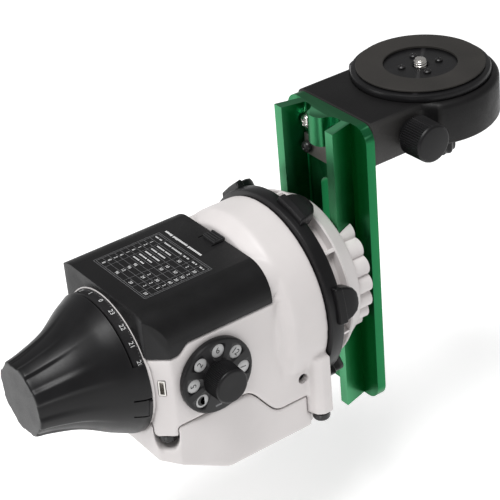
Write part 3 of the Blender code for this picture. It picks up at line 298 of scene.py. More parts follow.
def bake(obj):
    """Applies an object's modifiers."""
    bpy.context.view_layer.update()
    graph = bpy.context.evaluated_depsgraph_get()
    mesh = bpy.data.meshes.new_from_object(obj.evaluated_get(graph))
    obj.modifiers.clear()
    obj.data = mesh
    return obj


def combine(obj, operation, others):
    """Booleans the others onto the object one by one, and removes them."""
    material = obj.data.materials[0]
    for other in others:
        modifier = obj.modifiers.new("boolean", "BOOLEAN")
        modifier.operation = operation
        modifier.solver = "EXACT"
        modifier.object = other
        bake(obj)
        bpy.data.objects.remove(other, do_unlink=True)
    obj.data.materials.clear()
    obj.data.materials.append(material)
    return obj


def cut(obj, *others):
    return combine(obj, "DIFFERENCE", others)


def join(obj, *others):
    return combine(obj, "UNION", others)


def round_edges(obj, width, segments=3, angle=35):
    """Clears stray Boolean edges off the flats, then rounds what is sharper than the angle."""
    shape = bmesh.new()
    shape.from_mesh(obj.data)
    bmesh.ops.remove_doubles(shape, verts=shape.verts, dist=0.004 * MM)
    bmesh.ops.dissolve_limit(shape, angle_limit=math.radians(0.6), verts=shape.verts, edges=shape.edges)
    shape.to_mesh(obj.data)
    shape.free()
    bevel = obj.modifiers.new("round", "BEVEL")
    bevel.width = width
    bevel.segments = segments
    bevel.limit_method = "ANGLE"
    bevel.angle_limit = math.radians(angle)
    bevel.miter_outer = "MITER_ARC"
    bevel.harden_normals = False
    bake(obj)
    obj.data.shade_smooth()
    obj.data.set_sharp_from_angle(angle=math.radians(40))
    weighted = obj.modifiers.new("weighted", "WEIGHTED_NORMAL")
    weighted.keep_sharp = True
    weighted.weight = 60
    bake(obj)
    return obj


def cast(obj, voxel, passes):
    """Gives the soft edges and fillets of a casting: remeshes on a fine grid and relaxes it."""
    remesh = obj.modifiers.new("remesh", "REMESH")
    remesh.mode = "VOXEL"
    remesh.voxel_size = voxel
    relax = obj.modifiers.new("relax", "CORRECTIVE_SMOOTH")
    relax.iterations = passes
    relax.factor = 0.5
    relax.use_only_smooth = True
    bake(obj)
    obj.data.shade_smooth()
    return obj


def points_from(base, pairs):
    """Profile points from pairs in millimetres: the distance past base, and the radius."""
    return [(base + h * MM, r * MM) for h, r in pairs]


def mirrored(outline):
    """The outline's other half: its points in reverse, on the other side of the middle."""
    return [(u, -v) for u, v in reversed(outline)]


def hexagon(radius):
    """A hexagon socket's outline."""
    return [(radius * math.cos(math.radians(60 * i)),
             radius * math.sin(math.radians(60 * i))) for i in range(6)]


def skin_over(shape, loops):
    """Faces between loops of points, with an end face on the first and the last."""
    for first, second in zip(loops, loops[1:]):
        for i in range(len(first)):
            j = (i + 1) % len(first)
            shape.faces.new((first[i], first[j], second[j], second[i]))
    shape.faces.new(loops[0])
    shape.faces.new(loops[-1])


def smooth_shaded(obj, angle):
    """Smooth shading, but for edges sharper than the angle."""
    obj.data.shade_smooth()
    obj.data.set_sharp_from_angle(angle=math.radians(angle))


def arc(cx, cy, radius, start, end, steps):
    """Points along an arc, with its ends in degrees."""
    turn = [math.radians(start + (end - start) * i / steps) for i in range(steps + 1)]
    return [(cx + radius * math.cos(t), cy + radius * math.sin(t)) for t in turn]


def rounded_box(low_u, low_v, high_u, high_v, radii, steps=12):
    """A rectangle outline with one radius for each corner, from the lower left one counterclockwise."""
    corners = [(low_u, low_v, 1, 1, 180), (high_u, low_v, -1, 1, 270), (high_u, high_v, -1, -1, 0),
               (low_u, high_v, 1, -1, 90)]
    points = []
    for (u, v, su, sv, start), radius in zip(corners, radii):
        if radius:
            points += arc(u + su * radius, v + sv * radius, radius, start, start + 90, steps)
        else:
            points.append((u, v))
    return points


def ease(t):
    """A smooth step from 0 to 1."""
    t = min(1.0, max(0.0, t))
    return t * t * (3 - 2 * t)


def place(obj, body, slot, *replaced):
    """Ties a piece to its body and hides the CAD nodes that it stands for. The slot is not used."""
    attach(obj, body)
    if replaced:
        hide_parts(*replaced)
    return obj


def turned_to(obj, angle):
    """Turns an object about the right ascension axis."""
    spin = Matrix.Translation(RA) @ Matrix.Rotation(angle, 4, "X") @ Matrix.Translation(-RA)
    obj.data.transform(spin)
    return obj


def writing(name, text, size, matrix, material, height=0.03 * MM):
    """Numbers, as a thin raised print. The text's own X and Y lie along the matrix's first two columns."""
    curve = bpy.data.curves.new(name, "FONT")
    curve.body = text
    curve.size = size
    curve.align_x = "CENTER"
    curve.align_y = "CENTER"
    curve.extrude = height
    curve.resolution_u = 3
    flat = bpy.data.objects.new(name + "_text", curve)
    bpy.context.scene.collection.objects.link(flat)
    bpy.context.view_layer.update()
    mesh = bpy.data.meshes.new_from_object(flat.evaluated_get(bpy.context.evaluated_depsgraph_get()))
    bpy.data.objects.remove(flat, do_unlink=True)
    mesh.transform(matrix)
    mesh.materials.clear()
    mesh.materials.append(material)
    obj = bpy.data.objects.new(name, mesh)
    bpy.context.scene.collection.objects.link(obj)
    return obj


def merge(name, pieces):
    """One object from several, each keeping its own material."""
    shape = bmesh.new()
    materials = []
    for piece in pieces:
        start = len(shape.faces)
        shape.from_mesh(piece.data)
        shape.faces.ensure_lookup_table()
        slots = []
        for material in piece.data.materials:
            if material not in materials:
                materials.append(material)
            slots.append(materials.index(material))
        for face in shape.faces[start:]:
            face.material_index = slots[face.material_index]
        bpy.data.objects.remove(piece, do_unlink=True)
    mesh = bpy.data.meshes.new(name)
    shape.to_mesh(mesh)
    shape.free()
    for material in materials:
        mesh.materials.append(material)
    obj = bpy.data.objects.new(name, mesh)
    bpy.context.scene.collection.objects.link(obj)
    return obj


def axes(x, y, z, origin):
    """A matrix whose columns are three directions and a place."""
    matrix = Matrix((x, y, z)).transposed().to_4x4()
    matrix.translation = origin
    return matrix


# ---------------------------------------------------------------- polar scope cap

CAP_CURVE = [(1.3, 18.2), (4.5, 18.75), (8.0, 19.6), (13.0, 20.95), (18.0, 22.5), (23.0, 24.6), (28.0, 27.35),
             (33.0, 30.4), (36.0, 31.95), (39.0, 33.4), (42.0, 34.9), (44.0, 35.6), (46.3, 35.9)]
FLUTES = 8
CAP_SKIN = 1.6


def smooth_profile(points, steps):
    """Catmull-Rom points through a few (h, r) pairs."""
    full = [points[0]] + points + [points[-1]]
    made = []
    for a, b, c, d in zip(full, full[1:], full[2:], full[3:]):
        for i in range(steps):
            t = i / steps
            made.append(tuple(0.5 * (2 * q + (r - p) * t + (2 * p - 5 * q + 4 * r - s) * t * t
                                     + (3 * q - p - 3 * r + s) * t**3) for p, q, r, s in zip(a, b, c, d)))
    return made + [points[-1]]


def flute(h, angle):
    """Shallow flutes: wide hollows with a soft step on each side, deepest at the small end."""
    along = (h - CAP_END_X) / MM
    depth = 0.95 * (1 - ease((along - 6) / 32)) * MM
    phase = (angle * FLUTES / (2 * math.pi) + 0.46) % 1.0
    inside = ease(phase / 0.12) * (1 - ease((phase - 0.50) / 0.20))
    return -depth * inside


def polar_cap():
    curve = smooth_profile(CAP_CURVE, 3)
    outer = points_from(CAP_END_X, [(0, 0.01), (0, 16.0), (0, 17.4), (0.15, 17.7), (0.5, 18.0)] + curve)
    inside = [(h, r - CAP_SKIN) for h, r in curve if 4.0 < h < 38.0]
    inner = points_from(CAP_END_X, [(2.0, 0.01), (2.0, 15.6)] + inside + [(41.5, 33.2), (42.0, 34.45)])
    inner.append((CAP_RIM_X, 34.45 * MM))
    profile = outer + inner[::-1]
    cap = lathe("polar_scope_cap", profile, RA, "X", SATIN, 240, True, flute, 28, 16.5 * MM)
    wedge = arc(0, AXIS_Z, 50 * MM, 26, 157, 24) + [(0.0, AXIS_Z + 2 * MM)]
    cut(cap, prism("window", wedge, CAP_RIM_X - 5.6 * MM, CAP_RIM_X + 9 * MM, "X", SATIN))
    for angle in (183.5, 200.5):
        slit = block("slit", (CAP_RIM_X - 8.0 * MM, 32.4 * MM, AXIS_Z - 0.45 * MM),
                     (CAP_RIM_X + 5 * MM, 38 * MM, AXIS_Z + 0.45 * MM))
        cut(cap, turned_to(slit, math.radians(angle)))
    smooth_shaded(cap, 28)
    tab = block("tab", (CAP_RIM_X - 1.9 * MM, 34.9 * MM, AXIS_Z - 4.6 * MM),
                (CAP_RIM_X - 0.2 * MM, 36.3 * MM, AXIS_Z + 4.6 * MM), SATIN)
    round_edges(tab, 0.35 * MM)
    turned_to(tab, math.radians(192))
    place(merge("polar_scope_cap_body", [cap, tab]), "cap", "black_plastic", "polar_cap")


def time_circle():
    low, high = span("time_circle", 0)
    radius = (span("time_circle", 1)[1] - span("time_circle", 1)[0]) / 2
    profile = [(low, radius - 8.8 * MM), (low, radius - 0.5 * MM), (low + 0.5 * MM, radius), (high, radius),
               (high, radius - 9 * MM)]
    pieces = [lathe("time_ring", profile, RA, "X", SATIN, 144, True)]
    for k in range(24):
        angle = math.radians(155 - 15 * k)
        out = Vector((0, math.cos(angle), math.sin(angle)))
        along = Vector((0, -math.sin(angle), math.cos(angle)))
        at = RA + out * (radius + 0.02 * MM) + Vector((low + 3.0 * MM, 0, 0))
        pieces.append(writing("hour", str((20 + k) % 24), 3.1 * MM, axes(along, Vector((1, 0, 0)), out, at),
                              PRINT))
    for k in range(144):
        angle = 2 * math.pi * k / 144
        length = 0.9 * MM if k % 6 == 0 else 0.5 * MM
        mark = block("mark", (high - 1.3 * MM - length, radius - 0.1 * MM, AXIS_Z - 0.08 * MM),
                     (high - 1.3 * MM, radius + 0.03 * MM, AXIS_Z + 0.08 * MM), DIM_PRINT)
        pieces.append(turned_to(mark, angle))
    place(merge("time_circle_ring", pieces), "housing", "black_plastic", "time_circle")
    lip = points_from(FRONT_X, [(-0.25, 34.35), (-0.25, 34.9), (1.0, 35.1), (1.0, 34.35)])
    place(lathe("circle_lip", lip, RA, "X", WHITE, 144, True), "housing", "white_casting")


# ---------------------------------------------------------------- battery cover

COVER_EDGE_FRONT = AXIS_Z + 16.5 * MM
COVER_EDGE_REAR = AXIS_Z + 21.0 * MM
SEAM_FRONT = AXIS_Z - 21.0 * MM
SEAM_REAR = AXIS_Z - 38.5 * MM


def s_curve(x_start, x_end, from_z, to_z, offset, steps=14):
    """Level, an S between two places along X, and level again."""
    points = [(FRONT_X - 10 * MM, from_z + offset)]
    for i in range(steps + 1):
        t = i / steps
        points.append((x_start + (x_end - x_start) * t, from_z + (to_z - from_z) * ease(t) + offset))
    points.append((SEAT_X, to_z + offset))
    return points


def cover_line(offset):
    return s_curve(SEAT_X - 104.5 * MM, SEAT_X - 97.5 * MM, COVER_EDGE_FRONT, COVER_EDGE_REAR, offset)


def seam_line(offset):
    return s_curve(SEAT_X - 71 * MM, SEAT_X - 52 * MM, SEAM_FRONT, SEAM_REAR, offset)


def side_prism(name, outline, half=60 * MM):
    """A cutter with an (x, z) outline that passes through from side to side."""
    return prism(name, outline, -half, half, "-Y", BLACK)


# The direction that a chamfered front corner faces, in X and in Y.
CHAMFER_X, CHAMFER_Y = 0.658, 0.753


def corner_cutters(low, high, inset=0.0):
    """Prisms that take the two upright front corners off the body, or off its inside by an inset."""
    along, across = CHAMFER_X * inset, CHAMFER_Y * inset
    made = []
    for side in (-1, 1):
        outline = [
            (FRONT_X - 2 * MM, side * (31.2 * MM - 2 * across)),
            (FRONT_X - 2 * MM, side * 42 * MM),
            (FRONT_X + 10.5 * MM + along, side * 42 * MM),
            (FRONT_X + 10.5 * MM + along, side * (40.1 * MM - across)),
            (FRONT_X + 8 * MM + along, side * (40 * MM - across)),
            (FRONT_X + along, side * (33 * MM - across)),
        ]
        if not inset:
            del outline[3]
        made.append(prism("corner", outline, low, high, "Z", BLACK))
    return made


def battery_cover():
    top = 15 * MM
    outer = rounded_box(-COVER_HALF, AXIS_Z + 5 * MM, COVER_HALF, COVER_TOP, (0, 0, top, top), 20)
    cover = prism("battery_lid", outer, FRONT_X, COVER_BACK_X, "X", BLACK)
    cut(cover, *corner_cutters(0, 0.2))
    round_edges(cover, 1.3 * MM, 4, 40)
    half = COVER_HALF - 2.4 * MM
    inner = rounded_box(-half, -10 * MM, half, COVER_TOP - 2.4 * MM, (0, 0, 12.6 * MM, 12.6 * MM), 16)
    space = prism("space", inner, FRONT_X + 2.4 * MM, SEAT_X, "X", BLACK)
    cut(space, *corner_cutters(-20 * MM, 0.3, 2.4 * MM))
    cut(cover, space)
    below = cover_line(0) + [(SEAT_X, -10 * MM), (FRONT_X - 10 * MM, -10 * MM)]
    cut(cover, side_prism("below", below))
    cut(cover,
        prism("arch", arc(0, AXIS_Z, 36.2 * MM, 0, 360, 120)[:-1], -0.2, SEAT_X - 112 * MM, "X", BLACK))
    latch_front = COVER_BACK_X - 7.6 * MM
    for side in (-1, 1):
        y = side * 5.3 * MM
        cut(cover,
            block("slit", (latch_front, y - 0.35 * MM, COVER_TOP - 4 * MM),
                  (SEAT_X, y + 0.35 * MM, COVER_TOP + 2 * MM)))
    smooth_shaded(cover, 32)
    pieces = [cover]
    base = block("latch", (COVER_BACK_X - 5.6 * MM, -4.7 * MM, COVER_TOP - 0.5 * MM),
                 (COVER_BACK_X + 1.0 * MM, 4.7 * MM, COVER_TOP + 1.1 * MM))
    pieces.append(round_edges(base, 0.4 * MM))
    for k in range(4):
        x = COVER_BACK_X - 5.2 * MM + k * 1.45 * MM
        rib = block("rib", (x, -4.5 * MM, COVER_TOP + 0.7 * MM),
                    (x + 0.75 * MM, 4.5 * MM, COVER_TOP + 1.65 * MM))
        pieces.append(round_edges(rib, 0.25 * MM, 2))
    place(merge("battery_cover_shell", pieces), "cover", "black_plastic", "battery_cover")


TABLE_LOW_X, TABLE_HIGH_X = SEAT_X - 106.3 * MM, SEAT_X - 70.6 * MM
TABLE_HALF = 21.6 * MM


def printed_table():
    """A generic table of settings: ruled lines, dashes for words, and plain numbers."""
    z = COVER_TOP + 0.01 * MM
    pieces = []

    def line(x0, y0, x1, y1, width=0.16 * MM):
        low = (min(x0, x1) - width / 2, min(y0, y1) - width / 2, z - 0.02 * MM)
        high = (max(x0, x1) + width / 2, max(y0, y1) + width / 2, z + 0.03 * MM)
        pieces.append(block("line", low, high, DIM_PRINT))

    def mark(text, x, y, size):
        matrix = axes(Vector((0, -1, 0)), Vector((1, 0, 0)), Vector((0, 0, 1)), Vector((x, y, z)))
        pieces.append(writing("mark", text, size, matrix, PRINT))

    def dash(x, y, length, size=0.75 * MM):
        """Stands for a printed word, with a gap where the next word starts."""
        low = 0.0
        gap_at = length * random.uniform(0.35, 0.6)
        while low < length - 0.5 * MM:
            high = low + random.uniform(0.5, 0.9) * MM
            pieces.append(block("word", (x - size / 2, y - high, z - 0.02 * MM),
                                (x + size / 2, y - low, z + 0.03 * MM), PRINT))
            low = high + (0.9 * MM if low < gap_at <= high + 0.3 * MM else 0.28 * MM)

    half = TABLE_HALF
    for edge in (0.0, 0.9 * MM):
        line(TABLE_LOW_X + edge, -half + edge, TABLE_LOW_X + edge, half - edge)
        line(TABLE_HIGH_X - edge, -half + edge, TABLE_HIGH_X - edge, half - edge)
        line(TABLE_LOW_X + edge, -half + edge, TABLE_HIGH_X - edge, -half + edge)
        line(TABLE_LOW_X + edge, half - edge, TABLE_HIGH_X - edge, half - edge)
    rows = 9
    header = TABLE_HIGH_X - 5.6 * MM
    pitch = (header - TABLE_LOW_X - 0.9 * MM) / rows
    columns = [half - 0.9 * MM, 13.2 * MM, -2.4 * MM, -9.4 * MM, -15.4 * MM, -half + 0.9 * MM]
    for k in range(rows):
        line(header - k * pitch, -half + 0.9 * MM, header - k * pitch, half - 0.9 * MM, 0.12 * MM)
    for y in columns[1:-1]:
        line(TABLE_LOW_X + 0.9 * MM, y, TABLE_HIGH_X - 0.9 * MM, y, 0.12 * MM)
    for high, low in zip(columns, columns[1:]):
        dash(header + 2.6 * MM, high - 1.0 * MM, high - low - 2.2 * MM, 0.8 * MM)
    for k in range(rows):
        x = header - (k + 0.5) * pitch
        mark(str(random.choice((1, 2, 4, 6, 8, 12))), x, (columns[0] + columns[1]) / 2, 2.6 * MM)
        if k < 5:
            dash(x, columns[1] - 1.2 * MM, random.uniform(8, 13) * MM)
        else:
            mark(str(random.choice((12, 24, 48, 96))), x, (columns[1] + columns[2]) / 2, 2.4 * MM)
        for a, b in ((2, 3), (3, 4), (4, 5)):
            if random.random() < 0.8:
                mark(str(random.choice((1, 2, 5, 10, 20, 24, 30, 50, 60))), x, (columns[a] + columns[b]) / 2,
                     2.3 * MM)
    y = 20.5 * MM
    for word in (5, 10, 9):
        for _ in range(word):
            length = random.uniform(0.7, 1.1) * MM
            tall = random.choice((0.55, 0.55, 0.8)) * MM
            middle = TABLE_HIGH_X + 3.1 * MM
            pieces.append(block("title", (middle - tall, y - length, z - 0.02 * MM),
                                (middle + 0.5 * MM, y, z + 0.03 * MM), PRINT))
            y -= length + 0.25 * MM
        y -= 0.8 * MM
    place(merge("cover_print", pieces), "cover", "black_plastic")


# ---------------------------------------------------------------- housings

def cylinder(name, radius, low, high, origin, axis, steps=72):
    return lathe(name, [(low, radius), (high, radius)], origin, axis, BLACK, steps)


def corner_boss(low_z, high_z):
    """The bolt pads that stand out at the rear corners, one on each side."""
    made = []
    for side in (-1, 1):
        outline = [(BAND_BACK_X, side * 36 * MM), (BAND_BACK_X, side * 46 * MM),
                   (BAND_BACK_X - 5.5 * MM, side * 46 * MM),
                   (BAND_BACK_X - 8.5 * MM, side * 43.8 * MM), (BAND_BACK_X - 10.5 * MM, side * 38 * MM)]
        made.append(prism("boss", outline, low_z, high_z, "Z", BLACK))
    return made


def bolt_at(number):
    """The middle of the face that a bolt's head bears on."""
    low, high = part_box(f"base_bolt_{number}")
    return Vector(((low.x + high.x) / 2, (low.y + high.y) / 2, low.z + 4.4 * MM))


def corner_facing(at):
    """Turns local X to face out of the chamfered front corner nearest a place."""
    turn = math.atan2(math.copysign(CHAMFER_Y, at.y), -CHAMFER_X)
    return Matrix.Translation((at.x, at.y, 0.0)) @ Matrix.Rotation(turn, 4, "Z")


SCOOP_X = SEAT_X - 48.6 * MM


def hollow_out(obj):
    """The thumb-wide valley between the side wall and the round band, which fades out as it goes down."""
    for vertex in obj.data.vertices:
        x, y, z = vertex.co
        if abs(y) < 37.4 * MM or abs(x - SCOOP_X) > 9 * MM:
            continue
        fade = ease((z - AXIS_Z + 29 * MM) / (22 * MM)) * (1 - ease((z - AXIS_Z - 17 * MM) / (9 * MM)))
        dip = 1.5 * MM * fade * math.exp(-(((x - SCOOP_X) / (2.6 * MM)) ** 2))
        vertex.co.y = y - math.copysign(dip, y)


def main_housing():
    half = COVER_HALF
    outline = rounded_box(-half, AXIS_Z - 45 * MM, half, AXIS_Z + 30 * MM, (0, 0, 0, 0))
    body = prism("upper_casting", outline, FRONT_X + 0.3 * MM, BAND_FRONT_X + 2 * MM, "X", WHITE)
    above = cover_line(-0.35 * MM) + [(SEAT_X, AXIS_Z + 60 * MM), (FRONT_X - 10 * MM, AXIS_Z + 60 * MM)]
    cut(body, side_prism("above", above))
    skin = 3.0 * MM
    deck_half = half - skin
    deck = rounded_box(-deck_half, AXIS_Z - 10 * MM, deck_half, COVER_TOP - skin,
                       (0, 0, 12.1 * MM, 12.1 * MM))
    raised = prism("deck", deck, FRONT_X + skin, BAND_FRONT_X + 1 * MM, "X", WHITE)
    cut(raised, *corner_cutters(AXIS_Z + 16 * MM, 0.2, skin))
    join(body, raised)
    slope = [(COVER_BACK_X + 0.4 * MM, 41.2 * MM), (COVER_BACK_X + 1.6 * MM, 42.4 * MM),
             (BAND_FRONT_X - 0.6 * MM, BAND_RADIUS - 0.6 * MM)]
    slope += [(BAND_FRONT_X + 0.8 * MM, BAND_RADIUS), (BAND_BACK_X, BAND_RADIUS)]
    join(body, lathe("band", slope, RA, "X", WHITE, 160))
    low_side = rounded_box(-half, AXIS_Z - 50 * MM, half, AXIS_Z - 12 * MM, (0, 0, 0, 0))
    join(body, prism("low_side", low_side, BAND_FRONT_X - 2 * MM, BAND_BACK_X, "X", WHITE))
    below = seam_line(0.2 * MM) + [(SEAT_X, -10 * MM), (FRONT_X - 10 * MM, -10 * MM)]
    cut(body, side_prism("below", below))
    join(body, *corner_boss(bolt_at(3).z + 0.2 * MM, AXIS_Z - 17 * MM))
    cavity = rounded_box(-half + skin, 0.0, half - skin, AXIS_Z + 16.5 * MM, (0, 0, 4 * MM, 4 * MM))
    cut(body, prism("drive_space", cavity, FRONT_X + 7 * MM, SEAT_X - 51 * MM, "X", BLACK))
    way_low = (SEAT_X - 52 * MM, -half + skin, 0.0)
    cut(body, block("gear_way", way_low, (SEAT_X - 28 * MM, half - skin, AXIS_Z - 25 * MM)))
    cut(body, cylinder("wheel_space", BAND_RADIUS - 2.4 * MM, SEAT_X - 44 * MM, SEAT_X, RA, "X"))
    cut(body,
        block("bay", (SEAT_X - 110.5 * MM, -30 * MM, AXIS_Z + 19 * MM), (SEAT_X - 58 * MM, 30 * MM, 0.2)))
    cut(body, cylinder("shaft_bore", 18.3 * MM, -0.1, SEAT_X - 40 * MM, RA, "X"))
    cut(body, cylinder("circle_recess", 35.6 * MM, -0.1, FRONT_X + 1.2 * MM, RA, "X", 120))
    for number in (1, 2):
        at = bolt_at(number)
        tab = block("tab", (-5 * MM, -5.7 * MM, at.z + 0.2 * MM), (8 * MM, 5.7 * MM, at.z + 7.8 * MM), WHITE)
        tab.data.transform(corner_facing(at))
        cut(tab, block("front", (FRONT_X - 20 * MM, -60 * MM, 0.0), (FRONT_X + 0.4 * MM, 60 * MM, 0.2)))
        join(body, tab)
    cut(body, *corner_cutters(-10 * MM, 0.2))
    cast(body, 0.62 * MM, 10)
    hollow_out(body)
    cut(body,
        lathe("dial_hole", [(30 * MM, 3.6 * MM), (45 * MM, 3.6 * MM)], Vector((DIAL.x, 0, DIAL.z)), "-Y",
              BLACK, 48))
    slot_low, slot_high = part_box("usb_port")
    port = (slot_low + slot_high) / 2
    slot = block("slot", (-8 * MM, -1.9 * MM, -4.3 * MM), (6 * MM, 1.9 * MM, 4.3 * MM))
    round_edges(slot, 0.5 * MM)
    slot.data.transform(Matrix.Translation(port) @ Matrix.Rotation(math.radians(41), 4, "Z"))
    cut(body, slot)
    pocket = lathe("pocket", [(30 * MM, 2.2 * MM), (50 * MM, 3.1 * MM)],
                   Vector((SEAT_X - 38.6 * MM, 0, AXIS_Z - 27.5 * MM)), "-Y", BLACK, 40)
    cut(body, pocket)
    for node in ("button_left", "button_right", "shutter_port", "direction_switch"):
        low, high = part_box(node)
        middle = (low + high) / 2
        if node == "direction_switch":
            cut(body,
                block("way", (middle.x - 5.2 * MM, 30 * MM, middle.z - 1.8 * MM),
                      (middle.x + 5.2 * MM, 45 * MM, middle.z + 1.8 * MM)))
        else:
            cut(body, cylinder("way", 3.35 * MM, 30 * MM, 45 * MM, Vector((middle.x, 0, middle.z)), "Y", 40))
    smooth_shaded(body, 50)
    place(body, "housing", "white_casting", "main_housing")


def base_housing():
    half = COVER_HALF
    outline = rounded_box(-half, 0.0, half, SEAM_FRONT, (3 * MM, 3 * MM, 0, 0))
    body = prism("lower_casting", outline, FRONT_X, BAND_BACK_X, "X", WHITE)
    above = seam_line(-0.3 * MM) + [(SEAT_X, 0.2), (FRONT_X - 10 * MM, 0.2)]
    cut(body, side_prism("above", above))
    chin = [(FRONT_X - 10 * MM, -10 * MM), (SEAT_X - 64 * MM, -10 * MM), (SEAT_X - 81.5 * MM, 0.0)]
    chin += [(SEAT_X - 108.3 * MM, 15.2 * MM), (FRONT_X - 10 * MM, 20.7 * MM)]
    cut(body, side_prism("chin", chin))
    tail = [(SEAT_X - 32 * MM, -1 * MM), (SEAT_X, -1 * MM), (SEAT_X, 11 * MM),
            (BAND_BACK_X - 0.5 * MM, 8 * MM)]
    cut(body, side_prism("tail", tail))
    skin = 3.0 * MM
    inner = [(FRONT_X + 7 * MM, 30 * MM), (FRONT_X + 7 * MM, 20.5 * MM), (SEAT_X - 82 * MM, skin),
             (SEAT_X - 31 * MM, skin)]
    inner += [(SEAT_X - 29.2 * MM, 5.6 * MM), (SEAT_X - 29.2 * MM, 0.1), (FRONT_X + 7 * MM, 0.1)]
    room = side_prism("base_space", inner, half - skin)
    for side in (-1, 1):
        inside, outside = sorted((side * 33.6 * MM, side * 40 * MM))
        cut(room, block("thick_wall", (SEAT_X - 38.5 * MM, inside, 0.0), (SEAT_X, outside, 0.2)))
    cut(body, room)
    for number in (1, 2):
        at = bolt_at(number)
        inside, outside = sorted((math.copysign(24 * MM, at.y), math.copysign(39.5 * MM, at.y)))
        join(body,
             block("pillar", (FRONT_X + 0.5 * MM, inside, 21 * MM),
                   (at.x + 7.5 * MM, outside, SEAM_FRONT - 0.3 * MM), WHITE))
    cut(body, *corner_cutters(-10 * MM, 0.2))
    cut(body, cylinder("circle_recess", 35.6 * MM, -0.1, FRONT_X + 1.2 * MM, RA, "X", 120))
    for number in (1, 2):
        at = bolt_at(number)
        notch = [(-6.0 * MM, 0.2), (-6.0 * MM, at.z - 0.3 * MM), (-5.2 * MM, at.z - 4.2 * MM),
                 (-3.0 * MM, at.z - 7.7 * MM)]
        notch += [(-u, v) for u, v in reversed(notch)]
        recess = prism("recess", notch, -5.3 * MM, 12 * MM, "X", WHITE)
        recess.data.transform(corner_facing(at))
        cut(body, recess)
    for number in (3, 4):
        at = bolt_at(number)
        side = math.copysign(1, at.y)
        cut(body, cylinder("recess", 5.2 * MM, -10 * MM, 0.2, Vector((at.x, at.y, 0)), "Z", 64))
        outline = [(SEAT_X, side * 35 * MM), (SEAT_X, side * 60 * MM),
                   (BAND_BACK_X - 10.8 * MM, side * 60 * MM)]
        outline += [(BAND_BACK_X - 10.8 * MM, side * 37.7 * MM), (BAND_BACK_X, side * 35.7 * MM)]
        cut(body, prism("boss_recess", outline, at.z - 0.1 * MM, 0.2, "Z", WHITE))
    cast(body, 0.62 * MM, 10)
    join(body, lathe("boss", [(1 * MM, 11 * MM), (8.2 * MM, 11 * MM)], Vector((0, 0, 0)), "Z", WHITE, 64))
    cut(body, lathe("hole", [(-10 * MM, 7.8 * MM), (12 * MM, 7.8 * MM)], Vector((0, 0, 0)), "Z", BLACK, 64))
    smooth_shaded(body, 50)
    place(body, "housing", "white_casting", "base_housing")


def base_bolts():
    for number in range(1, 5):
        at = bolt_at(number)
        profile = points_from(0.0, [(-4.4, 2.3), (-4.25, 3.0), (-3.8, 3.8), (-3.1, 4.2), (-2.6, 4.3),
                                    (-0.3, 4.3), (-0.3, 2.2), (8.0, 2.2)])
        bolt = lathe("bolt", profile, at, "Z", DARK_STEEL, 60)
        cut(bolt, prism("key", hexagon(1.7 * MM), -8 * MM, -2.6 * MM, "Z", DARK_STEEL, origin=at))
        bolt.name = f"bolt_{number}"
        place(bolt, "housing", "black_steel", f"base_bolt_{number}")


# ---------------------------------------------------------------- mode dial

def knurl(count, depth, low, high):
    """Straight knurling round a knob's side, between two distances along it."""
    def wave(h, angle):
        return -depth * abs(math.sin(count * angle / 2)) ** 0.7 if low < h < high else 0
    return wave


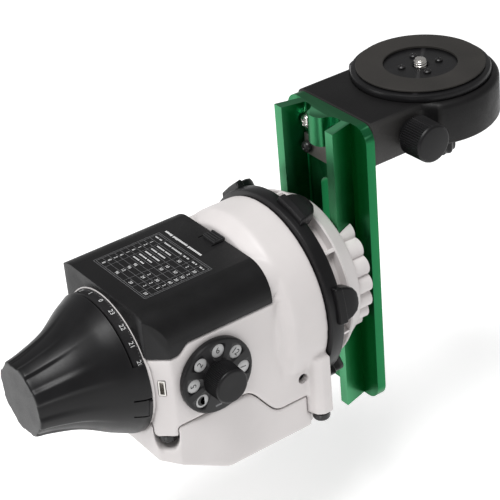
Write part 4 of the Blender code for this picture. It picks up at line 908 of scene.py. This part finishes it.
def mode_dial():
    centre = Vector((DIAL.x, 0, DIAL.z))
    start = -span("dial_plate", 1)[1]
    front = -span("dial_plate", 1)[0]
    r = DIAL_RADIUS
    profile = [(start, 3.7 * MM), (start, r - 0.2 * MM), (start + 1.4 * MM, r),
               (front - 0.9 * MM, r - 0.1 * MM),
               (front - 0.25 * MM, r - 0.6 * MM), (front, r - 1.4 * MM), (front, 3.7 * MM)]
    plate = lathe("dial", profile, centre, "-Y", SATIN, 144, True)
    pieces = []
    around = 13.3 * MM
    labels = ("", "5", "2", "6", "12", "1")
    for k, text in enumerate(labels):
        angle = math.radians(222 - 45.4 * k)
        at = centre + Vector((around * math.cos(angle), -front, around * math.sin(angle)))
        cut(plate, lathe("well", [(-1.0 * MM, 3.35 * MM), (2 * MM, 3.6 * MM)], at, "-Y", SATIN, 48))
        glass = [(-1.05 * MM, 3.4 * MM), (-0.45 * MM, 3.4 * MM), (-0.35 * MM, 3.2 * MM)]
        pieces.append(lathe("window", glass, at, "-Y", LAMP, 48))
        turn = Matrix.Rotation(angle - math.pi / 2, 3, "Y").inverted()
        right = turn @ Vector((1, 0, 0))
        up = turn @ Vector((0, 0, 1))
        spot = at + Vector((0, 0.32 * MM, 0))
        if text:
            pieces.append(writing("setting", text, 4.4 * MM, axes(right, up, Vector((0, -1, 0)), spot), INK))
        else:
            moon = arc(0, 0, 2.3 * MM, 60, 300, 24) + arc(1.1 * MM, 0, 2.0 * MM, 275, 85, 24)
            pieces.append(prism("moon", moon, -0.03 * MM, 0.05 * MM, "-Y", INK, origin=spot))
    at = centre + Vector((-1.6 * MM, -front - 0.01 * MM, -14.8 * MM))
    mark_high = at + Vector((1.7 * MM, 0.3 * MM, 0.45 * MM))
    pieces.append(block("off_mark", at - Vector((1.7 * MM, 0, 0.45 * MM)), mark_high, DIM_PRINT))
    dot = points_from(0.0, [(-0.3, 0.5), (0.03, 0.5)])
    pieces.append(lathe("dot", dot, at + Vector((4.0 * MM, 0, 0.5 * MM)), "-Y", DIM_PRINT, 20))
    place(merge("dial_face", [plate] + pieces), "housing", "black_plastic", "dial_plate")
    low, high = -span("dial_knob", 1)[1], -span("dial_knob", 1)[0]
    base = front + 0.3 * MM
    profile = [(low, 3.0 * MM)] + points_from(base, [(0, 3.0), (0, 8.6), (0.5, 8.75), (0.6, 8.7)])
    profile += points_from(high, [(-1.1, 8.4), (-0.9, 8.3), (-0.35, 8.05)])
    profile += points_from(high, [(-0.05, 7.6), (0, 7.0), (-0.25, 2.0)])
    ribbing = knurl(60, 0.42 * MM, base + 0.55 * MM, high - 1.0 * MM)
    knob = lathe("knob", profile, centre, "-Y", SATIN, 360, wave=ribbing)
    place(knob, "dial", "black_plastic", "dial_knob")
    knob.name = "dial_grip"


# ---------------------------------------------------------------- clutch ring and platform

# Along a lug, in millimetres: the distance past the seat, half the width, and the height over the axis.
LUG_STATIONS = [(-22.9, 9.2, 49.4), (-22.3, 9.2, 51.0), (-19.4, 9.0, 51.6), (-18.9, 8.6, 50.7),
                (-15.6, 7.6, 50.9), (-12.8, 6.0, 50.7), (-11.0, 3.6, 50.1), (-10.4, 1.6, 49.2)]
LUG_FOOT = 44.6


def clutch_ring():
    low, high = RING_FRONT_X, SEAT_X - 18.6 * MM
    profile = points_from(low, [(0, 42.5), (0, 47.7), (0.35, 48.3), (1.0, 48.5)])
    profile += points_from(high, [(-1.2, 48.5), (-0.4, 48.2), (0, 47.6), (0, 42.5)])
    pieces = [lathe("ring", profile, RA, "X", SATIN, 180, True)]
    for k in range(6):
        shape = bmesh.new()
        rows = []
        for x, half, top in LUG_STATIONS:
            section = [(-half, LUG_FOOT), (-half, top - 1.5), (-half + 0.25, top - 0.6),
                       (-half + 0.8, top - 0.1)]
            section += [(0.0, top + 0.25)] + [(-u, v) for u, v in reversed(section)]
            rows.append([shape.verts.new((SEAT_X + x * MM, u * MM, AXIS_Z + v * MM)) for u, v in section])
        skin_over(shape, rows)
        lug = add("lug", shape, SATIN, 40)
        round_edges(lug, 0.45 * MM, 3, 30)
        bake(lug)
        lug.data.shade_smooth()
        pieces.append(turned_to(lug, math.radians(49 + 60 * k - 90)))
    place(merge("clutch_ring_lugs", pieces), "clutch", "black_plastic", "clutch_ring")


def lobed_outline():
    """The saddle's scalloped rim: round lobes with sharp valleys."""
    centre_radius, lobe_radius, lobes = 30.2 * MM, 4.95 * MM, 22
    pitch = 2 * math.pi / lobes
    points = []
    for k in range(lobes):
        for i in range(12):
            offset = pitch * (i / 12 - 0.5)
            reach = math.sqrt(max(0.0, lobe_radius**2 - (centre_radius * math.sin(offset)) ** 2))
            r = centre_radius * math.cos(offset) + reach
            angle = math.radians(144.2) + k * pitch + offset
            points.append((r * math.cos(angle), AXIS_Z + r * math.sin(angle)))
    return points


def saddle():
    x = SEAT_X
    low = span("mounting_platform", 0)[0]
    profile = [(low, 20.4 * MM), (low, 42.0 * MM)]
    shelf = [(-18.4, 42.1), (-18.1, 42.8), (-17.2, 42.9), (-16.7, 42.4), (-16.6, 37.3), (-16.2, 36.8)]
    rim = [(-10.8, 36.8), (-10.4, 37.3), (-10.2, 42.3), (-9.6, 42.9), (-8.8, 42.5), (-5.4, 40.3)]
    seat = [(-2.0, 38.2), (-0.7, 37.6), (-0.3, 37.0), (-0.3, 11.2), (-18.7, 11.2), (-18.7, 20.4)]
    profile += points_from(x, shelf + rim + seat)
    platform = lathe("platform", profile, RA, "X", WHITE, 180, True)
    ribs = []
    for k in range(12):
        rib = block("rib", (x - 17 * MM, 34 * MM, AXIS_Z - 1.0 * MM),
                    (x - 10 * MM, 42.35 * MM, AXIS_Z + 1.0 * MM), WHITE)
        round_edges(rib, 0.45 * MM, 2)
        ribs.append(turned_to(rib, math.radians(19 + 30 * k)))
    edge = 22.25 * MM
    lean = math.tan(math.radians(15))
    top = x + 10 * MM
    height = 9.0 * MM
    jaws = []
    for name, sign in (("fixed_jaw", -1), ("loose_jaw", 1)):
        start = x - 4 * MM if sign < 0 else x + 0.3 * MM
        jaw = prism(name, lobed_outline(), start, x + height, "X", WHITE)
        back = x - 6 * MM
        keep = [(back, sign * edge), (x, sign * edge), (top, sign * (edge - lean * (top - x)))]
        keep += [(top, -sign * 60 * MM), (back, -sign * 60 * MM)]
        cut(jaw, prism("groove", keep, -0.1, 0.2, "Z", BLACK))
        round_edges(jaw, 0.7 * MM, 3, 50)
        jaws.append(jaw)
    knob_z = sum(span("clamp_knob", 2)) / 2
    knob_x = sum(span("clamp_knob", 0)) / 2
    cut(jaws[1], cylinder("way", 2.8 * MM, 10 * MM, 60 * MM, Vector((knob_x, 0, knob_z)), "Y", 32))
    place(merge("saddle_platform", [platform, *ribs, jaws[0]]), "platform", "white_casting",
          "mounting_platform")
    place(jaws[1], "jaw", "white_casting", "clamp_jaw")
    low, high = span("clamp_knob", 1)
    ribbing = knurl(36, 0.4 * MM, high - 10.9 * MM, high - 1.2 * MM)
    profile = [(low, 2.4 * MM)] + points_from(high, [(-12.8, 2.4), (-12.8, 5.8), (-11.2, 7.2), (-10.6, 7.5)])
    profile += points_from(high, [(-1.4, 7.5), (-0.8, 7.2), (-0.2, 6.6), (0, 5.8)])
    knob = lathe("jaw_grip", profile, Vector((knob_x, 0, knob_z)), "Y", SATIN, 216, wave=ribbing)
    place(knob, "jaw_knob", "black_plastic", "clamp_knob")


# ---------------------------------------------------------------- dovetail bar

CHANNEL_X = SEAT_X + 12 * MM
SCREW_Z = sum(span("bar_screw_1", 2)) / 2
SCREW_Y = 10.3 * MM
STOP_Z = sum(span("stop_screw_1", 2)) / 2


def dovetail_bar():
    x = SEAT_X
    plate = x + 13.2 * MM
    right = [(x, 22.0 * MM), (plate, 18.46 * MM), (plate + 0.05 * MM, 29.7 * MM), (BAR_BACK_X, 29.7 * MM)]
    channel = points_from(x, [(0, 16.5), (11.2, 13.9)]) + points_from(CHANNEL_X, [(-0.1, 13.3), (0, 12.6)])
    outline = right + mirrored(right)
    outline += [(u, -v) for u, v in channel] + channel[::-1]
    bar = prism("bar", outline, BAR_BOTTOM, BAR_TOP, "Z", GREEN)
    ridge = points_from(CHANNEL_X,
                        [(1, -10.8), (0, -10.8), (-0.5, -8.6), (-1.7, -7.0), (-3.2, -6.0), (-4.9, -5.3),
                                    (-6.2, -4.3), (-6.9, -2.8), (-7.2, -1.2)])
    ridge += mirrored(ridge)
    join(bar, prism("ridge", ridge, span("stop_plate", 2)[1] + 0.3 * MM, BAR_TOP, "Z", GREEN))
    low, high = AXIS_Z - 34 * MM, AXIS_Z + 44 * MM
    slot = arc(0.0, high - 5 * MM, 5 * MM, 0, 180, 20) + arc(0.0, low + 5 * MM, 5 * MM, 180, 360, 20)
    cut(bar, prism("slot", slot, x - 10 * MM, x + 30 * MM, "X", GREEN))
    for side in (-1, 1):
        at = Vector((0, side * SCREW_Y, SCREW_Z))
        cut(bar, cylinder("counterbore", 4.7 * MM, x - 10 * MM, CHANNEL_X - 0.05 * MM, at, "X", 64))
        cut(bar, cylinder("hole", 2.3 * MM, x, x + 30 * MM, at, "X", 32))
        cut(bar,
            cylinder("stop_hole", 1.7 * MM, x, CHANNEL_X + 4.5 * MM, Vector((0, side * SCREW_Y, STOP_Z)), "X",
                     24))
        for end, z in ((1, BAR_TOP), (-1, BAR_BOTTOM)):
            radius = 8 * MM
            cy, cz = side * (29.7 * MM - radius), z - end * radius
            points = [(side * 32 * MM, cz)]
            points += [(cy + side * u, cz + end * v) for u, v in arc(0, 0, radius, 0, 90, 16)]
            points += [(cy, z + end * 2 * MM), (side * 32 * MM, z + end * 2 * MM)]
            cut(bar, prism("corner", points, plate - 0.01 * MM, x + 30 * MM, "X", GREEN))
    round_edges(bar, 0.3 * MM, 2, 38)
    place(bar, "bar", "green_anodised", "dovetail_bar")
    bar.name = "green_bar"


def phillips(at, radius):
    """A cutter for a crosshead recess that faces -X."""
    first = block("cross", (-2.5 * MM, -radius, -0.42 * MM), (1.3 * MM, radius, 0.42 * MM), STEEL)
    second = block("cross", (-2.5 * MM, -0.42 * MM, -radius), (1.3 * MM, 0.42 * MM, radius), STEEL)
    join(first, second)
    first.data.transform(Matrix.Translation(at) @ Matrix.Rotation(math.radians(28), 4, "X"))
    return first


def bar_fittings():
    floor = CHANNEL_X
    for number, side in ((1, 1), (2, -1)):
        at = Vector((0, side * SCREW_Y, SCREW_Z))
        head = [(-4.0, 0.8), (-3.95, 1.8), (-3.75, 2.7), (-3.3, 3.3), (-2.6, 3.6), (-1.35, 3.65)]
        washer = [(-1.3, 4.1), (-1.1, 4.3), (-0.5, 4.3), (-0.3, 4.1)]
        shank = [(-0.3, 2.0), (13, 2.0)]
        screw = lathe("crosshead", points_from(floor, head + washer + shank), at, "X", STEEL, 60)
        cut(screw, phillips(at + Vector((floor - 3.2 * MM, 0, 0)), 2.0 * MM))
        screw.name = f"bar_crosshead_{number}"
        place(screw, "bar", "steel", f"bar_screw_{number}")
        at = Vector((0, side * SCREW_Y, STOP_Z))
        dome = points_from(floor,
                           [(-5.2, 1.0), (-5.1, 1.6), (-4.7, 2.3), (-4.0, 2.8), (-3.2, 3.0), (-2.4, 3.0),
                                   (-2.4, 1.4), (3, 1.4)])
        button = lathe("button_head", dome, at, "X", DARK_STEEL, 48)
        key = prism("key", hexagon(0.95 * MM), floor - 8 * MM, floor - 4.0 * MM, "X", DARK_STEEL, origin=at)
        cut(button, key)
        button.name = f"stop_button_{number}"
        place(button, "bar", "black_steel", f"stop_screw_{number}")
    low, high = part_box("stop_plate")
    plate = block("stop_strip", low, high, GREY)
    for side in (-1, 1):
        cut(plate, cylinder("hole", 1.6 * MM, 0.0, 0.2, Vector((0, side * SCREW_Y, STOP_Z)), "X", 24))
    round_edges(plate, 0.25 * MM, 2)
    place(plate, "bar", "grey_plate", "stop_plate")


# ---------------------------------------------------------------- declination head

def block_outline(radius, half, steps=72):
    """The declination block from above: straight sides that swell into a round end."""
    neck = SEAT_X + 48 * MM
    bend = 118
    curve = arc(TABLE_X, 0.0, radius, -bend, bend, steps)
    u, v = curve[-1]
    run = u - neck
    blend = []
    for i in range(1, 17):
        t = 1 - i / 16
        blend.append((neck + run * t, half + (v - half) * t**2.0))
    upper = blend + [(BLOCK_FRONT_X, half)]
    return curve + upper + mirrored(upper)


def declination_block():
    radius = span("dec_block", 1)[1]
    half = 28.4 * MM
    rows = points_from(BLOCK_BOTTOM, [(0, -1.6), (0.5, -0.6), (1.4, 0.0)])
    rows += points_from(BLOCK_TOP,
                        [(-3.0, -0.35), (-2.0, -0.55), (-1.1, -1.05), (-0.45, -1.8), (-0.1, -2.7), (0, -3.4)])
    shape = bmesh.new()
    loops = []
    for z, inset in rows:
        front = BLOCK_FRONT_X - 0.35 * inset
        outline = block_outline(radius + inset, half + inset)
        loops.append([shape.verts.new((max(u, front), v, z)) for u, v in outline])
    skin_over(shape, loops)
    body = add("head_block", shape, CASTING, 45)
    centre = Vector((TABLE_X, 0, 0))
    floor = BLOCK_BOTTOM + 3.5 * MM
    room = [(0, 4.2 * MM), (floor, 4.2 * MM), (floor, 26.2 * MM), (0.3, 26.2 * MM)]
    cut(body, lathe("room", room, centre, "Z", CASTING, 96))
    groove = [(BLOCK_TOP - 0.9 * MM, 26.0 * MM), (BLOCK_TOP - 0.9 * MM, 34.3 * MM), (0.3, 34.3 * MM),
              (0.3, 26.0 * MM)]
    cut(body, lathe("seat", groove, centre, "Z", CASTING, 144, True))
    way = points_from(0.0, [(-50, 3.4), (-24.5, 3.4), (-24.5, 6.2), (20, 6.2), (20, 3.4), (23, 3.4)])
    cut(body, lathe("worm_room", way, KNOB_AT, "Y", CASTING, 40))
    for side in (-1, 1):
        at = Vector((0, side * SCREW_Y, SCREW_Z))
        cut(body, cylinder("thread", 2.3 * MM, 0.0, SEAT_X + 26.5 * MM, at, "X", 32))
    smooth_shaded(body, 45)
    place(body, "bar", "black_casting", "dec_block")


def upright_place(node):
    """Where an upright screw's axis crosses the floor, and the height of its lower end."""
    low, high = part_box(node)
    return Vector(((low.x + high.x) / 2, (low.y + high.y) / 2, 0)), low.z


def turntable():
    centre = Vector((TABLE_X, 0, 0))
    low = span("turntable", 2)[0]
    r, top = TABLE_RADIUS, TABLE_TOP
    profile = [(low, 3.6 * MM), (low, 8.0 * MM)] + points_from(BLOCK_TOP, [(-5, 8.0), (-5, 24), (-0.5, 24)])
    profile += [(BLOCK_TOP - 0.5 * MM, r - 0.3 * MM), (BLOCK_TOP + 0.2 * MM, r), (top - 1.3 * MM, r)]
    profile += [(top - 0.5 * MM, r - 0.35 * MM), (top - 0.1 * MM, r - 1.0 * MM), (top, r - 1.7 * MM)]
    profile += points_from(top, [(0, 4.6), (-0.5, 3.9), (-0.8, 3.6)])
    table = lathe("table_plate", profile, centre, "Z", SATIN, 180, True)
    for k in range(4):
        at, foot = upright_place(f"turntable_screw_{k + 1}")
        cut(table, lathe("well", [(foot - 0.3 * MM, 1.25 * MM), (0.3, 1.25 * MM)], at, "Z", SATIN, 24))
    smooth_shaded(table, 32)
    place(table, "table", "black_casting", "turntable")
    thick = [(PAD_LOW, PAD_RADIUS - 0.3 * MM), (PAD_LOW + 0.3 * MM, PAD_RADIUS),
             (PAD_TOP - 0.35 * MM, PAD_RADIUS)]
    thick += [(PAD_TOP, PAD_RADIUS - 0.4 * MM), (PAD_TOP, 18.25 * MM), (PAD_TOP - 0.3 * MM, 17.9 * MM)]
    thick += [(PAD_LOW, 17.9 * MM)]
    place(lathe("pad_ring", thick, centre, "Z", PAD, 180, True), "table", "pad", "turntable_pad")
    for k in range(4):
        at, foot = upright_place(f"turntable_screw_{k + 1}")
        head = [(foot, 1.0 * MM)]
        head += points_from(TABLE_TOP, [(0.3, 1.0), (0.3, 1.9), (0.8, 1.85), (1.2, 1.4), (1.4, 0.7)])
        screw = lathe("small", head, at, "Z", DARK_STEEL, 36)
        for quarter in (0, 1):
            slit_low = (-1.1 * MM, -0.22 * MM, TABLE_TOP + 0.8 * MM)
            slit = block("slit", slit_low, (1.1 * MM, 0.22 * MM, TABLE_TOP + 3 * MM), DARK_STEEL)
            spin = math.radians(25 + 70 * k + 90 * quarter)
            slit.data.transform(Matrix.Translation(at) @ Matrix.Rotation(spin, 4, "Z"))
            cut(screw, slit)
        screw.name = f"table_screw_head_{k + 1}"
        place(screw, "table", "steel", f"turntable_screw_{k + 1}")


def camera_screw():
    """The quarter-inch screw, with its thread cut as a helix."""
    centre = Vector((TABLE_X, 0, 0))
    low, high = span("camera_screw", 2)
    pitch = 1.27 * MM
    steps, rings = 48, 6
    start = TABLE_TOP - 3 * MM
    shape = bmesh.new()
    loops = []
    count = int((high - start) / pitch * rings)
    for row in range(count + 1):
        loop = []
        for i in range(steps):
            turn = i / steps
            z = start + (high - start) * row / count
            phase = ((z - start) / pitch - turn) % 1.0
            ridge = 1 - abs(2 * phase - 1)
            taper = 1 - 0.22 * ease((z - high + 1.0 * MM) / (1.0 * MM))
            r = (2.65 * MM + 0.52 * MM * ease(ridge * 1.2)) * taper
            loop.append(shape.verts.new((r * math.cos(2 * math.pi * turn), r * math.sin(2 * math.pi * turn),
                                         z)))
        loops.append(loop)
    stem = arc(0, 0, 3.1 * MM, 0, 360, steps)[:-1]
    for z in (start - 0.01 * MM, low):
        loops.insert(0, [shape.verts.new((u, v, z)) for u, v in stem])
    skin_over(shape, loops)
    shape.transform(Matrix.Translation(centre))
    place(add("camera_thread", shape, STEEL, 60), "screw", "steel", "camera_screw")


def star_knob():
    """The lobed knob: finger lobes, each with a rippled edge."""
    low, high = span("star_knob", 2)
    centre = Vector((TABLE_X, 0, 0))
    reach = max(span("star_knob", 0)[1] - TABLE_X, span("star_knob", 1)[1])

    def lobes(h, angle):
        wave = 0.5 + 0.5 * math.cos(5 * (angle - math.radians(-105)))
        return (18.0 * MM - reach) * (1 - wave**0.75) + 0.55 * MM * math.cos(40 * angle) * wave

    profile = [(low + 1.7 * MM, 8 * MM), (low, reach - 3.2 * MM), (low + 0.4 * MM, reach - 1.9 * MM)]
    profile += [(low + 1.4 * MM, reach - 0.9 * MM), (low + 3 * MM, reach - 0.6 * MM)]
    profile += [(high - 1.6 * MM, reach - 0.6 * MM), (high - 0.6 * MM, reach - 1.0 * MM),
                (high, reach - 2.2 * MM)]
    knob = lathe("star_grip", profile, centre, "Z", SATIN, 360, wave=lobes, waved_from=10 * MM)
    cut(knob, lathe("bore", [(low + 1.65 * MM, 3.6 * MM), (0.3, 3.6 * MM)], centre, "Z", SATIN, 48))
    smooth_shaded(knob, 40)
    place(knob, "screw", "black_plastic", "star_knob")


def slow_motion_knob():
    low, high = -span("dec_knob", 1)[1], -span("dec_knob", 1)[0]
    ribbing = knurl(54, 0.42 * MM, low + 3.15 * MM, high - 1.4 * MM)
    profile = points_from(low, [(0, 7.4), (0.5, 7.7), (2.4, 7.7), (2.7, 9.3), (3.1, 9.65), (3.2, 9.65)])
    profile += points_from(high, [(-1.5, 9.4), (-1.3, 9.35), (-0.6, 9.1), (-0.15, 8.6), (0, 8.0)])
    knob = lathe("slow_motion_grip", profile, KNOB_AT, "-Y", SATIN, 324, wave=ribbing)
    cut(knob, cylinder("bore", 3.3 * MM, low - 1 * MM, 42.5 * MM, KNOB_AT, "-Y", 32))
    smooth_shaded(knob, 32)
    place(knob, "slow_motion", "black_plastic", "dec_knob")


# ---------------------------------------------------------------- pieces that stay as the frame has them

CARRIED = {
    "white_casting": WHITE,
    "black_plastic": SATIN,
    "black_casting": CASTING,
    "green_anodised": GREEN,
    "alloy": ALLOY,
    "steel": STEEL,
    "black_steel": DARK_STEEL,
    "brass": BRASS,
    "pad": PAD,
    "cell_wrap": WRAP,
    "lens_glass": GLASS,
    "board": BOARD,
    "grey_plate": GREY,
}


def finish_frame():
    slots = {entry["node"]: entry["material_slot"] for entry in frame["record"]["subparts"]}
    for node, obj in frame["nodes"].items():
        obj.data.materials.clear()
        obj.data.materials.append(CARRIED[slots[node]])
        smooth_shaded(obj, 32)


# ---------------------------------------------------------------- stage, lights and camera

def stage():
    floor = bpy.data.materials.new("studio_floor")
    floor.use_nodes = True
    shader = floor.node_tree.nodes["Principled BSDF"]
    shader.inputs["Base Color"].default_value = (0.96, 0.96, 0.96, 1)
    shader.inputs["Roughness"].default_value = 0.9
    shader.inputs["Emission Color"].default_value = (1.0, 1.0, 1.0, 1)
    shader.inputs["Emission Strength"].default_value = 0.42
    shape = bmesh.new()
    size = 4.0
    corners = [(-size, -size), (size, -size), (size, size), (-size, size)]
    shape.faces.new([shape.verts.new((x, y, FLOOR_Z)) for x, y in corners])
    plane = add("floor", shape, floor)


FLOOR_Z = BAR_BOTTOM - 60 * MM


def area_light(name, place_at, target, size, power):
    light = bpy.data.lights.new(name, "AREA")
    light.shape = "RECTANGLE"
    light.size, light.size_y = size
    light.energy = power
    obj = bpy.data.objects.new(name, light)
    bpy.context.scene.collection.objects.link(obj)
    obj.location = place_at
    obj.rotation_euler = (Vector(target) - Vector(place_at)).to_track_quat("-Z", "Y").to_euler()


def lights():
    world = bpy.data.worlds.new("studio")
    bpy.context.scene.world = world
    world.use_nodes = True
    background = world.node_tree.nodes["Background"]
    background.inputs["Color"].default_value = (1.0, 1.0, 1.0, 1)
    background.inputs["Strength"].default_value = 0.36
    aim = (0.02, 0.0, 0.06)
    area_light("key", (-0.35, -0.2, 1.2), aim, (0.6, 0.6), 14.0)
    area_light("left", (-1.1, 0.5, 0.45), aim, (0.35, 0.6), 3.5)
    bpy.context.scene.view_settings.view_transform = "Standard"


AIM = Vector((0.0351, 0.0206, 0.0661))
DISTANCE = 0.8339
LENS = 123.75


def camera():
    """Looks from the dial's side and a little in front, from above, with a small roll."""
    back = Vector((-0.46807, -0.71467, 0.51976))
    up = Vector((0.35982, 0.38307, 0.85076))
    right = up.cross(back).normalized()
    up = back.cross(right).normalized()
    data = bpy.data.cameras.new("camera")
    data.lens = LENS
    data.sensor_width = 36.0
    data.clip_start = 0.01
    obj = bpy.data.objects.new("camera", data)
    bpy.context.scene.collection.objects.link(obj)
    matrix = axes(right, up, back.normalized(), AIM + back.normalized() * DISTANCE)
    obj.matrix_world = matrix
    bpy.context.scene.camera = obj


finish_frame()
polar_cap()
time_circle()
battery_cover()
printed_table()
main_housing()
base_housing()
base_bolts()
mode_dial()
clutch_ring()
saddle()
dovetail_bar()
bar_fittings()
declination_block()
turntable()
camera_screw()
star_knob()
slow_motion_knob()
stage()
lights()
camera()
